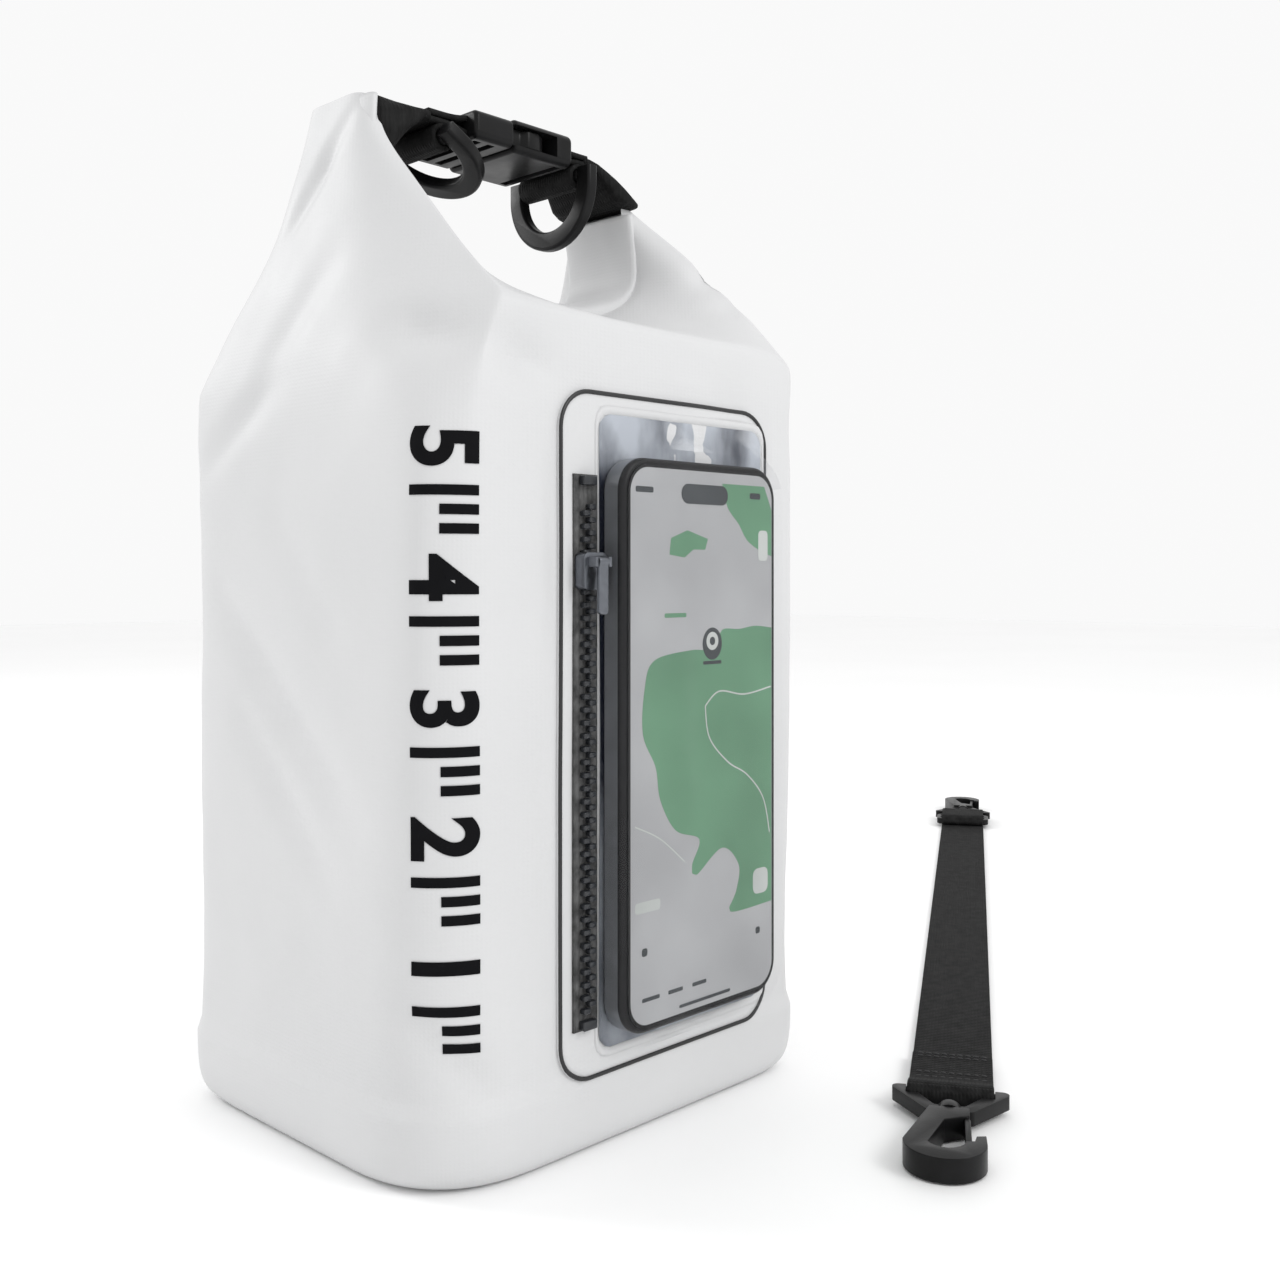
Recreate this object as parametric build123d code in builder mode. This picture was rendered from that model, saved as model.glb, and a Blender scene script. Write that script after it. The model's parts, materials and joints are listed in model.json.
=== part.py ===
from build123d import *
import math
import os

os.makedirs("parts", exist_ok=True)

# Roll-top dry bag with a window pocket, and its detached shoulder strap. Millimetres, +Z up.
# Origin: centre of the bag's base on the floor. +X runs to the right along the window panel,
# which faces -Y.

# ---- driving dimensions: bag ----
BAG_WIDTH = 148.0
BAG_DEPTH = 121.0
CORNER_RADIUS = 20.0
WALL = 1.2
SHOULDER_HEIGHT = 212.0
CREST_HEIGHT = 229.0
CREST_LENGTH = 100.0
CREST_DEPTH = 118.0
CREST_RADIUS = 6.0
SKIRT_HEIGHT = 20.0
SKIRT_THICKNESS = 0.8
BASE_EDGE_RADIUS = 1.0
FRONT = -BAG_DEPTH / 2
SEAM_WIDTH = 20.0
SEAM_Z = (27.0, 205.0)
SEAM_THICKNESS = 0.6

# ---- driving dimensions: rolled mouth ----
HORN_BASE_THICKNESS = 33.0
HORN_OVERLAP = 2.0
ROLL_CORNER = 4.0
ROLL_WIDTH = 32.0
ROLL_THICKNESS = 16.0
LEFT_TIP_Z = 289.0
LEFT_TIP_UNDERSIDE_Z = 271.0
LEFT_TIP_X = -62.5
LEFT_TIP_END_X = -55.0
LEFT_TIP_CORNER = 2.0
RIGHT_TIP_Z = 281.0
RIGHT_TIP_X = 35.0
COLLAR_HEIGHT = 9.5
COLLAR_WIDTH = 30.0
COLLAR_X = (-41.0, 36.5)
COLLAR_EDGE_RADIUS = 4.55
STIFFENER_THICKNESS = 1.0
STIFFENER_WIDTH = 22.0
STIFFENER_CORNER = 3.0
STIFFENER_END_GAP = 3.0
STIFFENER_SIDE_GAP = 0.3
STIFFENER_FACE_GAP = 0.15
STIFFENER_SPACING = 1.1

# ---- driving dimensions: closure ----
WEBBING_WIDTH = 25.0
CLOSURE_Z = 289.0
CLOSURE_WEBBING = 3.2
CLOSURE_WEBBING_CORNER = 0.6
LEFT_WEBBING_X = -38.0
RIGHT_WEBBING_X = 25.0
TAB_WIDTH = 31.0
TAB_GAP = 0.1
LEFT_TAB_HEIGHT = 16.0
LEFT_TAB_Z = 280.0
RIGHT_TAB_HEIGHT = 5.0
RIGHT_TAB_Z = 280.0
WEBBING_GAP = 0.02
BUCKLE_WIDTH = 33.0
BUCKLE_THICKNESS = 10.0
MALE_X = (-24.0, -9.2)
FEMALE_X = (-8.8, 14.5)
FEMALE_BLOCK_X = 8.0
PLATE_THICKNESS = 1.9
PRONG_LENGTH = 13.2
PRONG_WIDTH = 3.4
PRONG_HEIGHT = 5.4
PRONG_Y = 12.0
PRONG_GAP = 0.35
PRONG_PAD = (4.0, 6.0, 10.0)
PRONG_TIP_RADIUS = 0.8
BUCKLE_CORNER = 1.2
FEMALE_EDGE_RADIUS = 2.5
MALE_EDGE_RADIUS = 2.2
MALE_THICKNESS = 8.4
GUIDE_WIDTH = 5.0
SLOT_SIZE = (2.6, 26.0)
FEMALE_SLOT_X = 11.05
MALE_SLOTS_X = (-20.6, -15.4)
RING_PIVOT_Z = 283.4
RING_BAR_RADIUS = 2.3
RING_RUNNING_GAP = 0.06
RING_OUTER_WIDTH = 38.0
RING_HOLE_WIDTH = 26.0
RING_REACH = 21.5
RING_THICKNESS = 4.0
RING_TOP = 2.5
LEFT_RING_X = -33.0
RIGHT_RING_X = 21.0
LEFT_RING_SWING = 62.0
RING_LOOP_RADIUS = 4.0
RING_LOOP_WIDTH = 25.0
RING_EDGE_RADIUS = 1.0
RING_BAR_LENGTH = 27.0

# ---- driving dimensions: window pocket ----
PATCH_CENTRE = (10.5, 114.0)
PATCH_SIZE = (87.0, 186.0)
PATCH_RADIUS = 11.0
PATCH_THICKNESS = 0.8
PIPING_WIDTH = 1.1
PIPING_HEIGHT = 0.5
WINDOW_CENTRE = (16.4, 114.5)
WINDOW_SIZE = (70.0, 174.0)
WINDOW_DEPTH = 10.3
WINDOW_RADIUS = 4.0
FILM = 0.5
BACKING_THICKNESS = 0.3
BACKING_GAP = 0.1
PHONE_GAP = 0.3
PHONE_EDGE_RADIUS = 1.5
DISPLAY_MARGIN = 1.8
DISPLAY_THICKNESS = 0.4
PHONE_CENTRE = (15.5, 110.5)
PHONE_SIZE = (66.0, 157.0)
PHONE_THICKNESS = 8.0
PHONE_RADIUS = 9.5
ZIP_X = -23.6
ZIP_Z = (35.0, 184.0)
ZIP_TAPE_WIDTH = 8.8
ZIP_TAPE_THICKNESS = 0.7
TOOTH_PITCH = 3.5
TOOTH_SIZE = (2.4, 2.0, 1.5)
TOOTH_OFFSET = 1.0
FIRST_TOOTH = 5.5
TOOTH_COUNT = 39
STOP_SIZE = (5.0, 2.2, 2.6)
STOP_INSET = 1.7
SLIDER_Z = 158.0
SLIDER_SIZE = (8.2, 3.6, 10.0)
SLIDER_GAP = 0.3
SLIDER_CORNER = 1.5
SLIDER_CHANNEL = (5.4, 2.5)
PIN_RADIUS = 0.7
PIN_GAP = 0.06
PIN_LENGTH = 5.0
PIN_REACH = 2.3
PIN_RISE = 2.5
EAR_SIZE = (1.0, 3.4, 2.6)
EAR_OFFSET = (2.5, 0.6)
PULL_LENGTH = 14.0
PULL_WIDTH = 3.4
PULL_THICKNESS = 1.2
PULL_EYE_RADIUS = 1.6
PULL_OFFSET = 0.6

# ---- driving dimensions: shoulder strap ----
STRAP_START = (30.0, -140.0)
STRAP_ANGLE = 30.0
STRAP_TIP_TO_BAR = 51.0
STRAP_BAR_TO_BAR = 481.0
STRAP_WEBBING = 1.7
BAR_RADIUS = 2.0
BAR_Z = 3.8
BAR_GAP = 0.06
HOOK_THICKNESS = 6.6
POST_RADIUS = 2.1
POST_GAP = 0.06
ADJUSTER_FROM_BAR = 17.0
ADJUSTER_SIZE = (17.0, 31.0, 3.4)
ADJUSTER_Z = 2.0
ADJUSTER_CORNER = 3.0
ADJUSTER_SLOT = (4.0, 26.0)
ADJUSTER_SLOT_OFFSET = 3.5
ADJUSTER_GAP = 0.35
FAR_STRIP = 6.0
SEWN_LENGTH = 38.0
SEWN_RAMP = 14.0
RING_HALF_BASE = 14.8
RING_HALF_APEX = 5.4
RING_APEX = 13.5
RING_EYE = ((2.0, -10.2), (2.0, 10.2), (11.5, 4.35), (11.5, -4.35))
RING_GAP = 0.3
BARREL_RADIUS = 3.7
BARREL_LENGTH = 4.0
HOOK_BASE = 15.8
HOOK_HALF_BASE = 5.6
HOOK_BELLY = ((40.0, -11.8), (51.0, -2.0), (40.0, 10.3))
HOOK_NOSE = ((40.0, 10.3), (34.0, 10.0), (34.8, 7.4), (38.0, 7.0), (38.6, 4.6))
HOOK_EYE_TOP = ((38.6, 4.6), (43.6, -1.2), (40.6, -5.2))
HOOK_EYE_FOOT = ((40.6, -5.2), (25.0, -1.2), (22.4, 3.0), (21.2, 5.6), (15.8, 5.6))
HEAD_END = 11.2
HEAD_TIP = 4.6
HEAD_RADII = (0.9, 3.4)
POST_OVERLAP = 0.3
GATE_THICKNESS = 1.7
GATE_ROOT = (22.5, 5.9)
GATE_TIP = (37.2, 6.3)
GATE_INSET = 0.6

# ---- planes ----
PATCH_FACE = FRONT - PATCH_THICKNESS
STRAP_DIRECTION = (math.cos(math.radians(STRAP_ANGLE)), math.sin(math.radians(STRAP_ANGLE)), 0)


def front_plane(depth):
    """Plane facing the window side, with local x along +X and local y up, at a world Y."""
    return Plane(origin=(0, depth, 0), x_dir=(1, 0, 0), z_dir=(0, -1, 0))


def strap_point(along, height=0.0):
    """World point on the strap's centre line, measured from the near hook's tip."""
    start_x, start_y = STRAP_START
    return (
        start_x + along * STRAP_DIRECTION[0],
        start_y + along * STRAP_DIRECTION[1],
        height,
    )


# Across the strap: local x along the strap, local y up, so that a profile extrudes sideways.
NEAR_BAR = STRAP_TIP_TO_BAR
FAR_BAR = STRAP_TIP_TO_BAR + STRAP_BAR_TO_BAR
STRAP_SIDE = Vector(STRAP_DIRECTION[1], -STRAP_DIRECTION[0], 0)
STRAP_PROFILE = Plane(origin=strap_point(NEAR_BAR), x_dir=STRAP_DIRECTION, z_dir=STRAP_SIDE)
STRAP_FLAT = Plane(origin=strap_point(NEAR_BAR), x_dir=STRAP_DIRECTION, z_dir=(0, 0, 1))
# Each end plane has its local x pointing out of the strap and lies at the bars' height.
NEAR_END = Plane(
    origin=strap_point(NEAR_BAR, BAR_Z),
    x_dir=(-STRAP_DIRECTION[0], -STRAP_DIRECTION[1], 0),
    z_dir=(0, 0, 1),
)
FAR_END = Plane(origin=strap_point(FAR_BAR, BAR_Z), x_dir=STRAP_DIRECTION, z_dir=(0, 0, -1))


# ================================================================ bag
def bag_outline(inset, bottom, crest):
    """Closed body of the bag from its base to its folded crest, inset from the outer face."""
    with BuildPart() as outline:
        with BuildSketch(Plane.XY.offset(bottom)):
            RectangleRounded(BAG_WIDTH - 2 * inset, BAG_DEPTH - 2 * inset, CORNER_RADIUS - inset)
        extrude(amount=SHOULDER_HEIGHT - bottom)
        with BuildSketch(Plane.XY.offset(SHOULDER_HEIGHT)):
            RectangleRounded(BAG_WIDTH - 2 * inset, BAG_DEPTH - 2 * inset, CORNER_RADIUS - inset)
        with BuildSketch(Plane.XY.offset(crest)):
            RectangleRounded(CREST_LENGTH - 2 * inset, CREST_DEPTH - 2 * inset, CREST_RADIUS - inset)
        loft(ruled=True)
    return outline.part


def folded_section(side, outer_x, thickness, depth, radius):
    """Section of a folded end: round on its outer side, straight on its inner side."""
    RectangleRounded(2 * abs(outer_x), depth, radius)
    keep_x = outer_x - side * thickness / 2
    with Locations((keep_x, 0)):
        Rectangle(thickness, depth + 2, mode=Mode.INTERSECT)


def horn(side, tip_x, tip_z, inset=0.0):
    """Tapering end of the rolled mouth, folded up from one side panel to its tip."""
    start_z = SHOULDER_HEIGHT - HORN_OVERLAP
    with BuildPart() as taper:
        with BuildSketch(Plane.XY.offset(start_z - 2 * inset)):
            folded_section(
                side,
                side * (BAG_WIDTH / 2 - inset),
                HORN_BASE_THICKNESS - 2 * inset,
                BAG_DEPTH - 2 * inset,
                CORNER_RADIUS - inset,
            )
        with BuildSketch(Plane.XY.offset(tip_z - inset)):
            folded_section(
                side,
                tip_x - side * inset,
                ROLL_THICKNESS - 2 * inset,
                ROLL_WIDTH - 2 * inset,
                ROLL_CORNER - inset,
            )
        loft(ruled=True)
    return taper.part


def hollow(thickness):
    """Space inside the welded fabric: the room for the contents and the folded ends."""
    room = bag_outline(thickness, thickness, CREST_HEIGHT - thickness)
    left = horn(-1, LEFT_TIP_X, LEFT_TIP_UNDERSIDE_Z, thickness)
    right = horn(1, RIGHT_TIP_X + ROLL_THICKNESS, RIGHT_TIP_Z, thickness)
    return room, left, right


with BuildPart() as bag_body:
    add(bag_outline(0, WALL, CREST_HEIGHT))
    add(horn(-1, LEFT_TIP_X, LEFT_TIP_UNDERSIDE_Z))
    add(horn(1, RIGHT_TIP_X + ROLL_THICKNESS, RIGHT_TIP_Z))
    with BuildSketch(Plane(((LEFT_TIP_X + LEFT_TIP_END_X) / 2, 0, LEFT_TIP_UNDERSIDE_Z))):
        RectangleRounded(LEFT_TIP_END_X - LEFT_TIP_X, ROLL_WIDTH, LEFT_TIP_CORNER)
    extrude(amount=LEFT_TIP_Z - LEFT_TIP_UNDERSIDE_Z)
    for space in hollow(WALL):
        add(space, mode=Mode.SUBTRACT)
bag_body.part.label = "bag_body"
export_step(bag_body.part, "parts/bag_body.step")

with BuildPart() as bag_base:
    with BuildSketch():
        RectangleRounded(
            BAG_WIDTH + 2 * SKIRT_THICKNESS,
            BAG_DEPTH + 2 * SKIRT_THICKNESS,
            CORNER_RADIUS + SKIRT_THICKNESS,
        )
    extrude(amount=SKIRT_HEIGHT)
    fillet(bag_base.faces().sort_by(Axis.Z)[0].edges(), BASE_EDGE_RADIUS)
    with BuildSketch(Plane.XY.offset(WALL)):
        RectangleRounded(BAG_WIDTH, BAG_DEPTH, CORNER_RADIUS)
    extrude(amount=SKIRT_HEIGHT, mode=Mode.SUBTRACT)
bag_base.part.label = "bag_base"
export_step(bag_base.part, "parts/bag_base.step")

with BuildPart() as back_seam_strip:
    with BuildSketch(front_plane(BAG_DEPTH / 2 + SEAM_THICKNESS)):
        with Locations((0, (SEAM_Z[0] + SEAM_Z[1]) / 2)):
            Rectangle(SEAM_WIDTH, SEAM_Z[1] - SEAM_Z[0])
    extrude(amount=SEAM_THICKNESS)
back_seam_strip.part.label = "back_seam_strip"
export_step(back_seam_strip.part, "parts/back_seam_strip.step")

# Rolled mouth where it crosses the top between the two horns. The stiffeners lie in its core.
COLLAR_LENGTH = COLLAR_X[1] - COLLAR_X[0]
COLLAR_CENTRE = (COLLAR_X[0] + COLLAR_X[1]) / 2
COLLAR_MID_Z = CREST_HEIGHT + COLLAR_HEIGHT / 2
with BuildPart() as roll_collar:
    with BuildSketch(Plane(origin=(COLLAR_X[0], 0, COLLAR_MID_Z), x_dir=(0, 1, 0), z_dir=(1, 0, 0))):
        RectangleRounded(COLLAR_WIDTH, COLLAR_HEIGHT, COLLAR_EDGE_RADIUS)
        Rectangle(
            STIFFENER_WIDTH + 2 * STIFFENER_SIDE_GAP,
            STIFFENER_SPACING + STIFFENER_THICKNESS + 2 * STIFFENER_FACE_GAP,
            mode=Mode.SUBTRACT,
        )
    extrude(amount=COLLAR_LENGTH)
roll_collar.part.label = "roll_collar"
export_step(roll_collar.part, "parts/roll_collar.step")


def stiffener(side):
    """One of the two flat strips in the core of the roll, below or above its middle."""
    middle = Plane((COLLAR_CENTRE, 0, COLLAR_MID_Z + side * STIFFENER_SPACING / 2))
    with BuildPart(middle) as strip:
        Box(COLLAR_LENGTH - 2 * STIFFENER_END_GAP, STIFFENER_WIDTH, STIFFENER_THICKNESS)
        fillet(strip.edges().filter_by(Axis.Z), STIFFENER_CORNER)
    return strip


stiffener_lower = stiffener(-1)
stiffener_lower.part.label = "stiffener_lower"
export_step(stiffener_lower.part, "parts/stiffener_lower.step")

stiffener_upper = stiffener(1)
stiffener_upper.part.label = "stiffener_upper"
export_step(stiffener_upper.part, "parts/stiffener_upper.step")


# ================================================================ closure over the top
def across_plane(x, z):
    """Plane across the closure at a station, with local x along Y and local y up."""
    return Plane(origin=(x, 0, z), x_dir=(0, 1, 0), z_dir=(1, 0, 0))


with BuildPart() as end_tab_left:
    with BuildSketch(across_plane(LEFT_TIP_END_X + TAB_GAP, LEFT_TAB_Z)):
        Rectangle(TAB_WIDTH, LEFT_TAB_HEIGHT)
    with BuildSketch(across_plane(LEFT_WEBBING_X, CLOSURE_Z)):
        Rectangle(WEBBING_WIDTH, CLOSURE_WEBBING)
    loft(ruled=True)
end_tab_left.part.label = "end_tab_left"
export_step(end_tab_left.part, "parts/end_tab_left.step")

with BuildPart() as end_tab_right:
    with BuildSketch(across_plane(RIGHT_WEBBING_X, CLOSURE_Z)):
        Rectangle(WEBBING_WIDTH, CLOSURE_WEBBING)
    with BuildSketch(across_plane(RIGHT_TIP_X - TAB_GAP, RIGHT_TAB_Z)):
        Rectangle(TAB_WIDTH, RIGHT_TAB_HEIGHT)
    loft(ruled=True)
end_tab_right.part.label = "end_tab_right"
export_step(end_tab_right.part, "parts/end_tab_right.step")

with BuildPart() as webbing_left:
    with BuildSketch(across_plane(LEFT_WEBBING_X, CLOSURE_Z)):
        RectangleRounded(WEBBING_WIDTH, CLOSURE_WEBBING, CLOSURE_WEBBING_CORNER)
    extrude(amount=MALE_X[0] - LEFT_WEBBING_X - WEBBING_GAP)
webbing_left.part.label = "webbing_left"
export_step(webbing_left.part, "parts/webbing_left.step")

with BuildPart() as webbing_right:
    with BuildSketch(across_plane(FEMALE_X[1] + WEBBING_GAP, CLOSURE_Z)):
        RectangleRounded(WEBBING_WIDTH, CLOSURE_WEBBING, CLOSURE_WEBBING_CORNER)
    extrude(amount=RIGHT_WEBBING_X - FEMALE_X[1] - WEBBING_GAP)
webbing_right.part.label = "webbing_right"
export_step(webbing_right.part, "parts/webbing_right.step")


def ring_loop(x):
    """Small sewn loop under the webbing that a ring's bar turns in."""
    pivot = Plane(origin=(x, 0, RING_PIVOT_Z), x_dir=(1, 0, 0), z_dir=(0, -1, 0))
    with BuildPart(pivot) as loop:
        Cylinder(RING_LOOP_RADIUS, RING_LOOP_WIDTH)
        Cylinder(RING_BAR_RADIUS + RING_RUNNING_GAP, RING_LOOP_WIDTH, mode=Mode.SUBTRACT)
    return loop


def carry_ring(x, swing):
    """Moulded D-shaped ring hanging from its bar, swung about the bar from the vertical."""
    hang = math.radians(swing)
    down = Vector(math.sin(hang), 0, -math.cos(hang))
    face = Plane(origin=(x, 0, RING_PIVOT_Z), x_dir=(0, 1, 0), z_dir=Vector(0, 1, 0).cross(down))
    lower = RING_REACH - RING_OUTER_WIDTH / 2
    with BuildPart(face) as ring:
        with BuildSketch(face.offset(-RING_THICKNESS / 2)):
            with Locations((0, (lower - RING_TOP) / 2)):
                Rectangle(RING_OUTER_WIDTH, lower + RING_TOP)
            with Locations((0, lower)):
                Circle(RING_OUTER_WIDTH / 2)
            with Locations((0, -RING_TOP - RING_OUTER_WIDTH / 2)):
                Rectangle(RING_OUTER_WIDTH, RING_OUTER_WIDTH, mode=Mode.SUBTRACT)
        extrude(amount=RING_THICKNESS)
        with BuildSketch(face.offset(-RING_THICKNESS)):
            with Locations((0, lower)):
                Circle(RING_HOLE_WIDTH / 2)
            with Locations((0, (lower - RING_TOP) / 2)):
                Rectangle(RING_HOLE_WIDTH, lower + RING_TOP)
        extrude(amount=2 * RING_THICKNESS, mode=Mode.SUBTRACT)
        fillet(ring.edges().filter_by(GeomType.CIRCLE), RING_EDGE_RADIUS)
        with Locations(Plane(origin=(0, 0, 0), z_dir=(1, 0, 0)).location):
            Cylinder(RING_BAR_RADIUS, RING_BAR_LENGTH)
    return ring


ring_loop_left = ring_loop(LEFT_RING_X)
ring_loop_left.part.label = "ring_loop_left"
export_step(ring_loop_left.part, "parts/ring_loop_left.step")

ring_loop_right = ring_loop(RIGHT_RING_X)
ring_loop_right.part.label = "ring_loop_right"
export_step(ring_loop_right.part, "parts/ring_loop_right.step")

carry_ring_left = carry_ring(LEFT_RING_X, LEFT_RING_SWING)
carry_ring_left.part.label = "carry_ring_left"
export_step(carry_ring_left.part, "parts/carry_ring_left.step")

carry_ring_right = carry_ring(RIGHT_RING_X, 0)
carry_ring_right.part.label = "carry_ring_right"
export_step(carry_ring_right.part, "parts/carry_ring_right.step")

# Side-release buckle. The socket half is two plates on a block, open at its sides and mouth.
with BuildPart() as buckle_female:
    female_length = FEMALE_X[1] - FEMALE_X[0]
    with Locations(((FEMALE_X[0] + FEMALE_X[1]) / 2, 0, CLOSURE_Z)):
        Box(female_length, BUCKLE_WIDTH, BUCKLE_THICKNESS)
    fillet(buckle_female.edges().filter_by(Axis.X), FEMALE_EDGE_RADIUS)
    fillet(buckle_female.edges().filter_by(Axis.Z), BUCKLE_CORNER)
    cavity_length = FEMALE_BLOCK_X - FEMALE_X[0]
    with Locations((FEMALE_X[0] + cavity_length / 2, 0, CLOSURE_Z)):
        Box(
            cavity_length,
            BUCKLE_WIDTH,
            BUCKLE_THICKNESS - 2 * PLATE_THICKNESS,
            mode=Mode.SUBTRACT,
        )
    with Locations((FEMALE_SLOT_X, 0, CLOSURE_Z)):
        Box(*SLOT_SIZE, BUCKLE_THICKNESS, mode=Mode.SUBTRACT)
buckle_female.part.label = "buckle_female"
export_step(buckle_female.part, "parts/buckle_female.step")

with BuildPart() as buckle_male:
    male_length = MALE_X[1] - MALE_X[0]
    with Locations(((MALE_X[0] + MALE_X[1]) / 2, 0, CLOSURE_Z)):
        Box(male_length, BUCKLE_WIDTH, MALE_THICKNESS)
    fillet(buckle_male.edges().filter_by(Axis.X), MALE_EDGE_RADIUS)
    fillet(buckle_male.edges().filter_by(Axis.Z), BUCKLE_CORNER)
    with Locations(*((slot_x, 0, CLOSURE_Z) for slot_x in MALE_SLOTS_X)):
        Box(*SLOT_SIZE, BUCKLE_THICKNESS, mode=Mode.SUBTRACT)
    with Locations((MALE_X[1] + PRONG_LENGTH / 2, 0, CLOSURE_Z)):
        Box(PRONG_LENGTH, GUIDE_WIDTH, PRONG_HEIGHT)
buckle_male.part.label = "buckle_male"
export_step(buckle_male.part, "parts/buckle_male.step")


def buckle_prong(side):
    """Springy side arm of the buckle with the thick pad that is squeezed to release it."""
    root_x = MALE_X[1] + PRONG_GAP
    pivot_x = root_x + PRONG_WIDTH / 2
    tip_x = root_x + PRONG_LENGTH
    inner = side * (PRONG_Y - PRONG_WIDTH / 2)
    outer = side * (PRONG_Y + PRONG_WIDTH / 2)
    pad = side * (PRONG_Y + PRONG_WIDTH)
    rise_x, pad_start_x, pad_end_x = (root_x + step for step in PRONG_PAD)
    with BuildPart() as prong:
        with BuildSketch(Plane.XY.offset(CLOSURE_Z - PRONG_HEIGHT / 2)):
            with BuildLine():
                Polyline(
                    (pivot_x, inner), (tip_x, inner), (tip_x, outer), (pad_end_x, pad),
                    (pad_start_x, pad), (rise_x, outer), (pivot_x, outer), close=True,
                )
            make_face()
            with Locations((pivot_x, side * PRONG_Y)):
                Circle(PRONG_WIDTH / 2)
        extrude(amount=PRONG_HEIGHT)
        fillet(prong.edges().filter_by(Axis.Z).sort_by(Axis.X)[-2:], PRONG_TIP_RADIUS)
    return prong


buckle_prong_front = buckle_prong(-1)
buckle_prong_front.part.label = "buckle_prong_front"
export_step(buckle_prong_front.part, "parts/buckle_prong_front.step")

buckle_prong_back = buckle_prong(1)
buckle_prong_back.part.label = "buckle_prong_back"
export_step(buckle_prong_back.part, "parts/buckle_prong_back.step")

# ================================================================ window pocket
with BuildPart() as pocket_patch:
    with BuildSketch(front_plane(FRONT)):
        with Locations(PATCH_CENTRE):
            RectangleRounded(*PATCH_SIZE, PATCH_RADIUS)
    extrude(amount=PATCH_THICKNESS)
pocket_patch.part.label = "pocket_patch"
export_step(pocket_patch.part, "parts/pocket_patch.step")

with BuildPart() as pocket_piping:
    with BuildSketch(front_plane(PATCH_FACE)):
        with Locations(PATCH_CENTRE):
            RectangleRounded(*PATCH_SIZE, PATCH_RADIUS)
            RectangleRounded(
                PATCH_SIZE[0] - 2 * PIPING_WIDTH,
                PATCH_SIZE[1] - 2 * PIPING_WIDTH,
                PATCH_RADIUS - PIPING_WIDTH,
                mode=Mode.SUBTRACT,
            )
    extrude(amount=PIPING_HEIGHT)
pocket_piping.part.label = "pocket_piping"
export_step(pocket_piping.part, "parts/pocket_piping.step")

with BuildPart() as pocket_backing:
    with BuildSketch(front_plane(PATCH_FACE)):
        with Locations(WINDOW_CENTRE):
            RectangleRounded(
                WINDOW_SIZE[0] - 2 * FILM - 2 * BACKING_GAP,
                WINDOW_SIZE[1] - 2 * FILM - 2 * BACKING_GAP,
                WINDOW_RADIUS - FILM,
            )
    extrude(amount=BACKING_THICKNESS)
pocket_backing.part.label = "pocket_backing"
export_step(pocket_backing.part, "parts/pocket_backing.step")

with BuildPart() as window_film:
    with BuildSketch(front_plane(PATCH_FACE)):
        with Locations(WINDOW_CENTRE):
            RectangleRounded(*WINDOW_SIZE, WINDOW_RADIUS)
    extrude(amount=WINDOW_DEPTH)
    with BuildSketch(front_plane(PATCH_FACE)):
        with Locations(WINDOW_CENTRE):
            RectangleRounded(
                WINDOW_SIZE[0] - 2 * FILM,
                WINDOW_SIZE[1] - 2 * FILM,
                WINDOW_RADIUS - FILM,
            )
    extrude(amount=WINDOW_DEPTH - FILM, mode=Mode.SUBTRACT)
window_film.part.label = "window_film"
export_step(window_film.part, "parts/window_film.step")

PHONE_BACK = PATCH_FACE - BACKING_THICKNESS - PHONE_GAP
with BuildPart() as phone_body:
    with BuildSketch(front_plane(PHONE_BACK)):
        with Locations(PHONE_CENTRE):
            RectangleRounded(*PHONE_SIZE, PHONE_RADIUS)
    extrude(amount=PHONE_THICKNESS)
    fillet(phone_body.faces().filter_by(Axis.Y).edges(), PHONE_EDGE_RADIUS)
phone_body.part.label = "phone_body"
export_step(phone_body.part, "parts/phone_body.step")

with BuildPart() as phone_display:
    with BuildSketch(front_plane(PHONE_BACK - PHONE_THICKNESS)):
        with Locations(PHONE_CENTRE):
            RectangleRounded(
                PHONE_SIZE[0] - 2 * DISPLAY_MARGIN,
                PHONE_SIZE[1] - 2 * DISPLAY_MARGIN,
                PHONE_RADIUS - DISPLAY_MARGIN,
            )
    extrude(amount=DISPLAY_THICKNESS)
phone_display.part.label = "phone_display"
export_step(phone_display.part, "parts/phone_display.step")

ZIP_LENGTH = ZIP_Z[1] - ZIP_Z[0]
ZIP_MID = (ZIP_Z[0] + ZIP_Z[1]) / 2
TAPE_FACE = PATCH_FACE - ZIP_TAPE_THICKNESS
with BuildPart() as zip_tape:
    with BuildSketch(front_plane(PATCH_FACE)):
        with Locations((ZIP_X, ZIP_MID)):
            Rectangle(ZIP_TAPE_WIDTH, ZIP_LENGTH)
    extrude(amount=ZIP_TAPE_THICKNESS)
zip_tape.part.label = "zip_tape"
export_step(zip_tape.part, "parts/zip_tape.step")

with BuildPart() as zip_teeth:
    tooth_y = TAPE_FACE - TOOTH_SIZE[1] / 2
    for side, shift in ((-1, 0.0), (1, TOOTH_PITCH / 2)):
        for index in range(TOOTH_COUNT):
            tooth_z = ZIP_Z[0] + FIRST_TOOTH + index * TOOTH_PITCH + shift
            with Locations((ZIP_X + side * TOOTH_OFFSET, tooth_y, tooth_z)):
                Box(*TOOTH_SIZE)
zip_teeth.part.label = "zip_teeth"
export_step(zip_teeth.part, "parts/zip_teeth.step")

with BuildPart() as zip_stops:
    for stop_z in (ZIP_Z[0] + STOP_INSET, ZIP_Z[1] - STOP_INSET):
        with Locations((ZIP_X, TAPE_FACE - STOP_SIZE[1] / 2, stop_z)):
            Box(*STOP_SIZE)
zip_stops.part.label = "zip_stops"
export_step(zip_stops.part, "parts/zip_stops.step")

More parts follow.
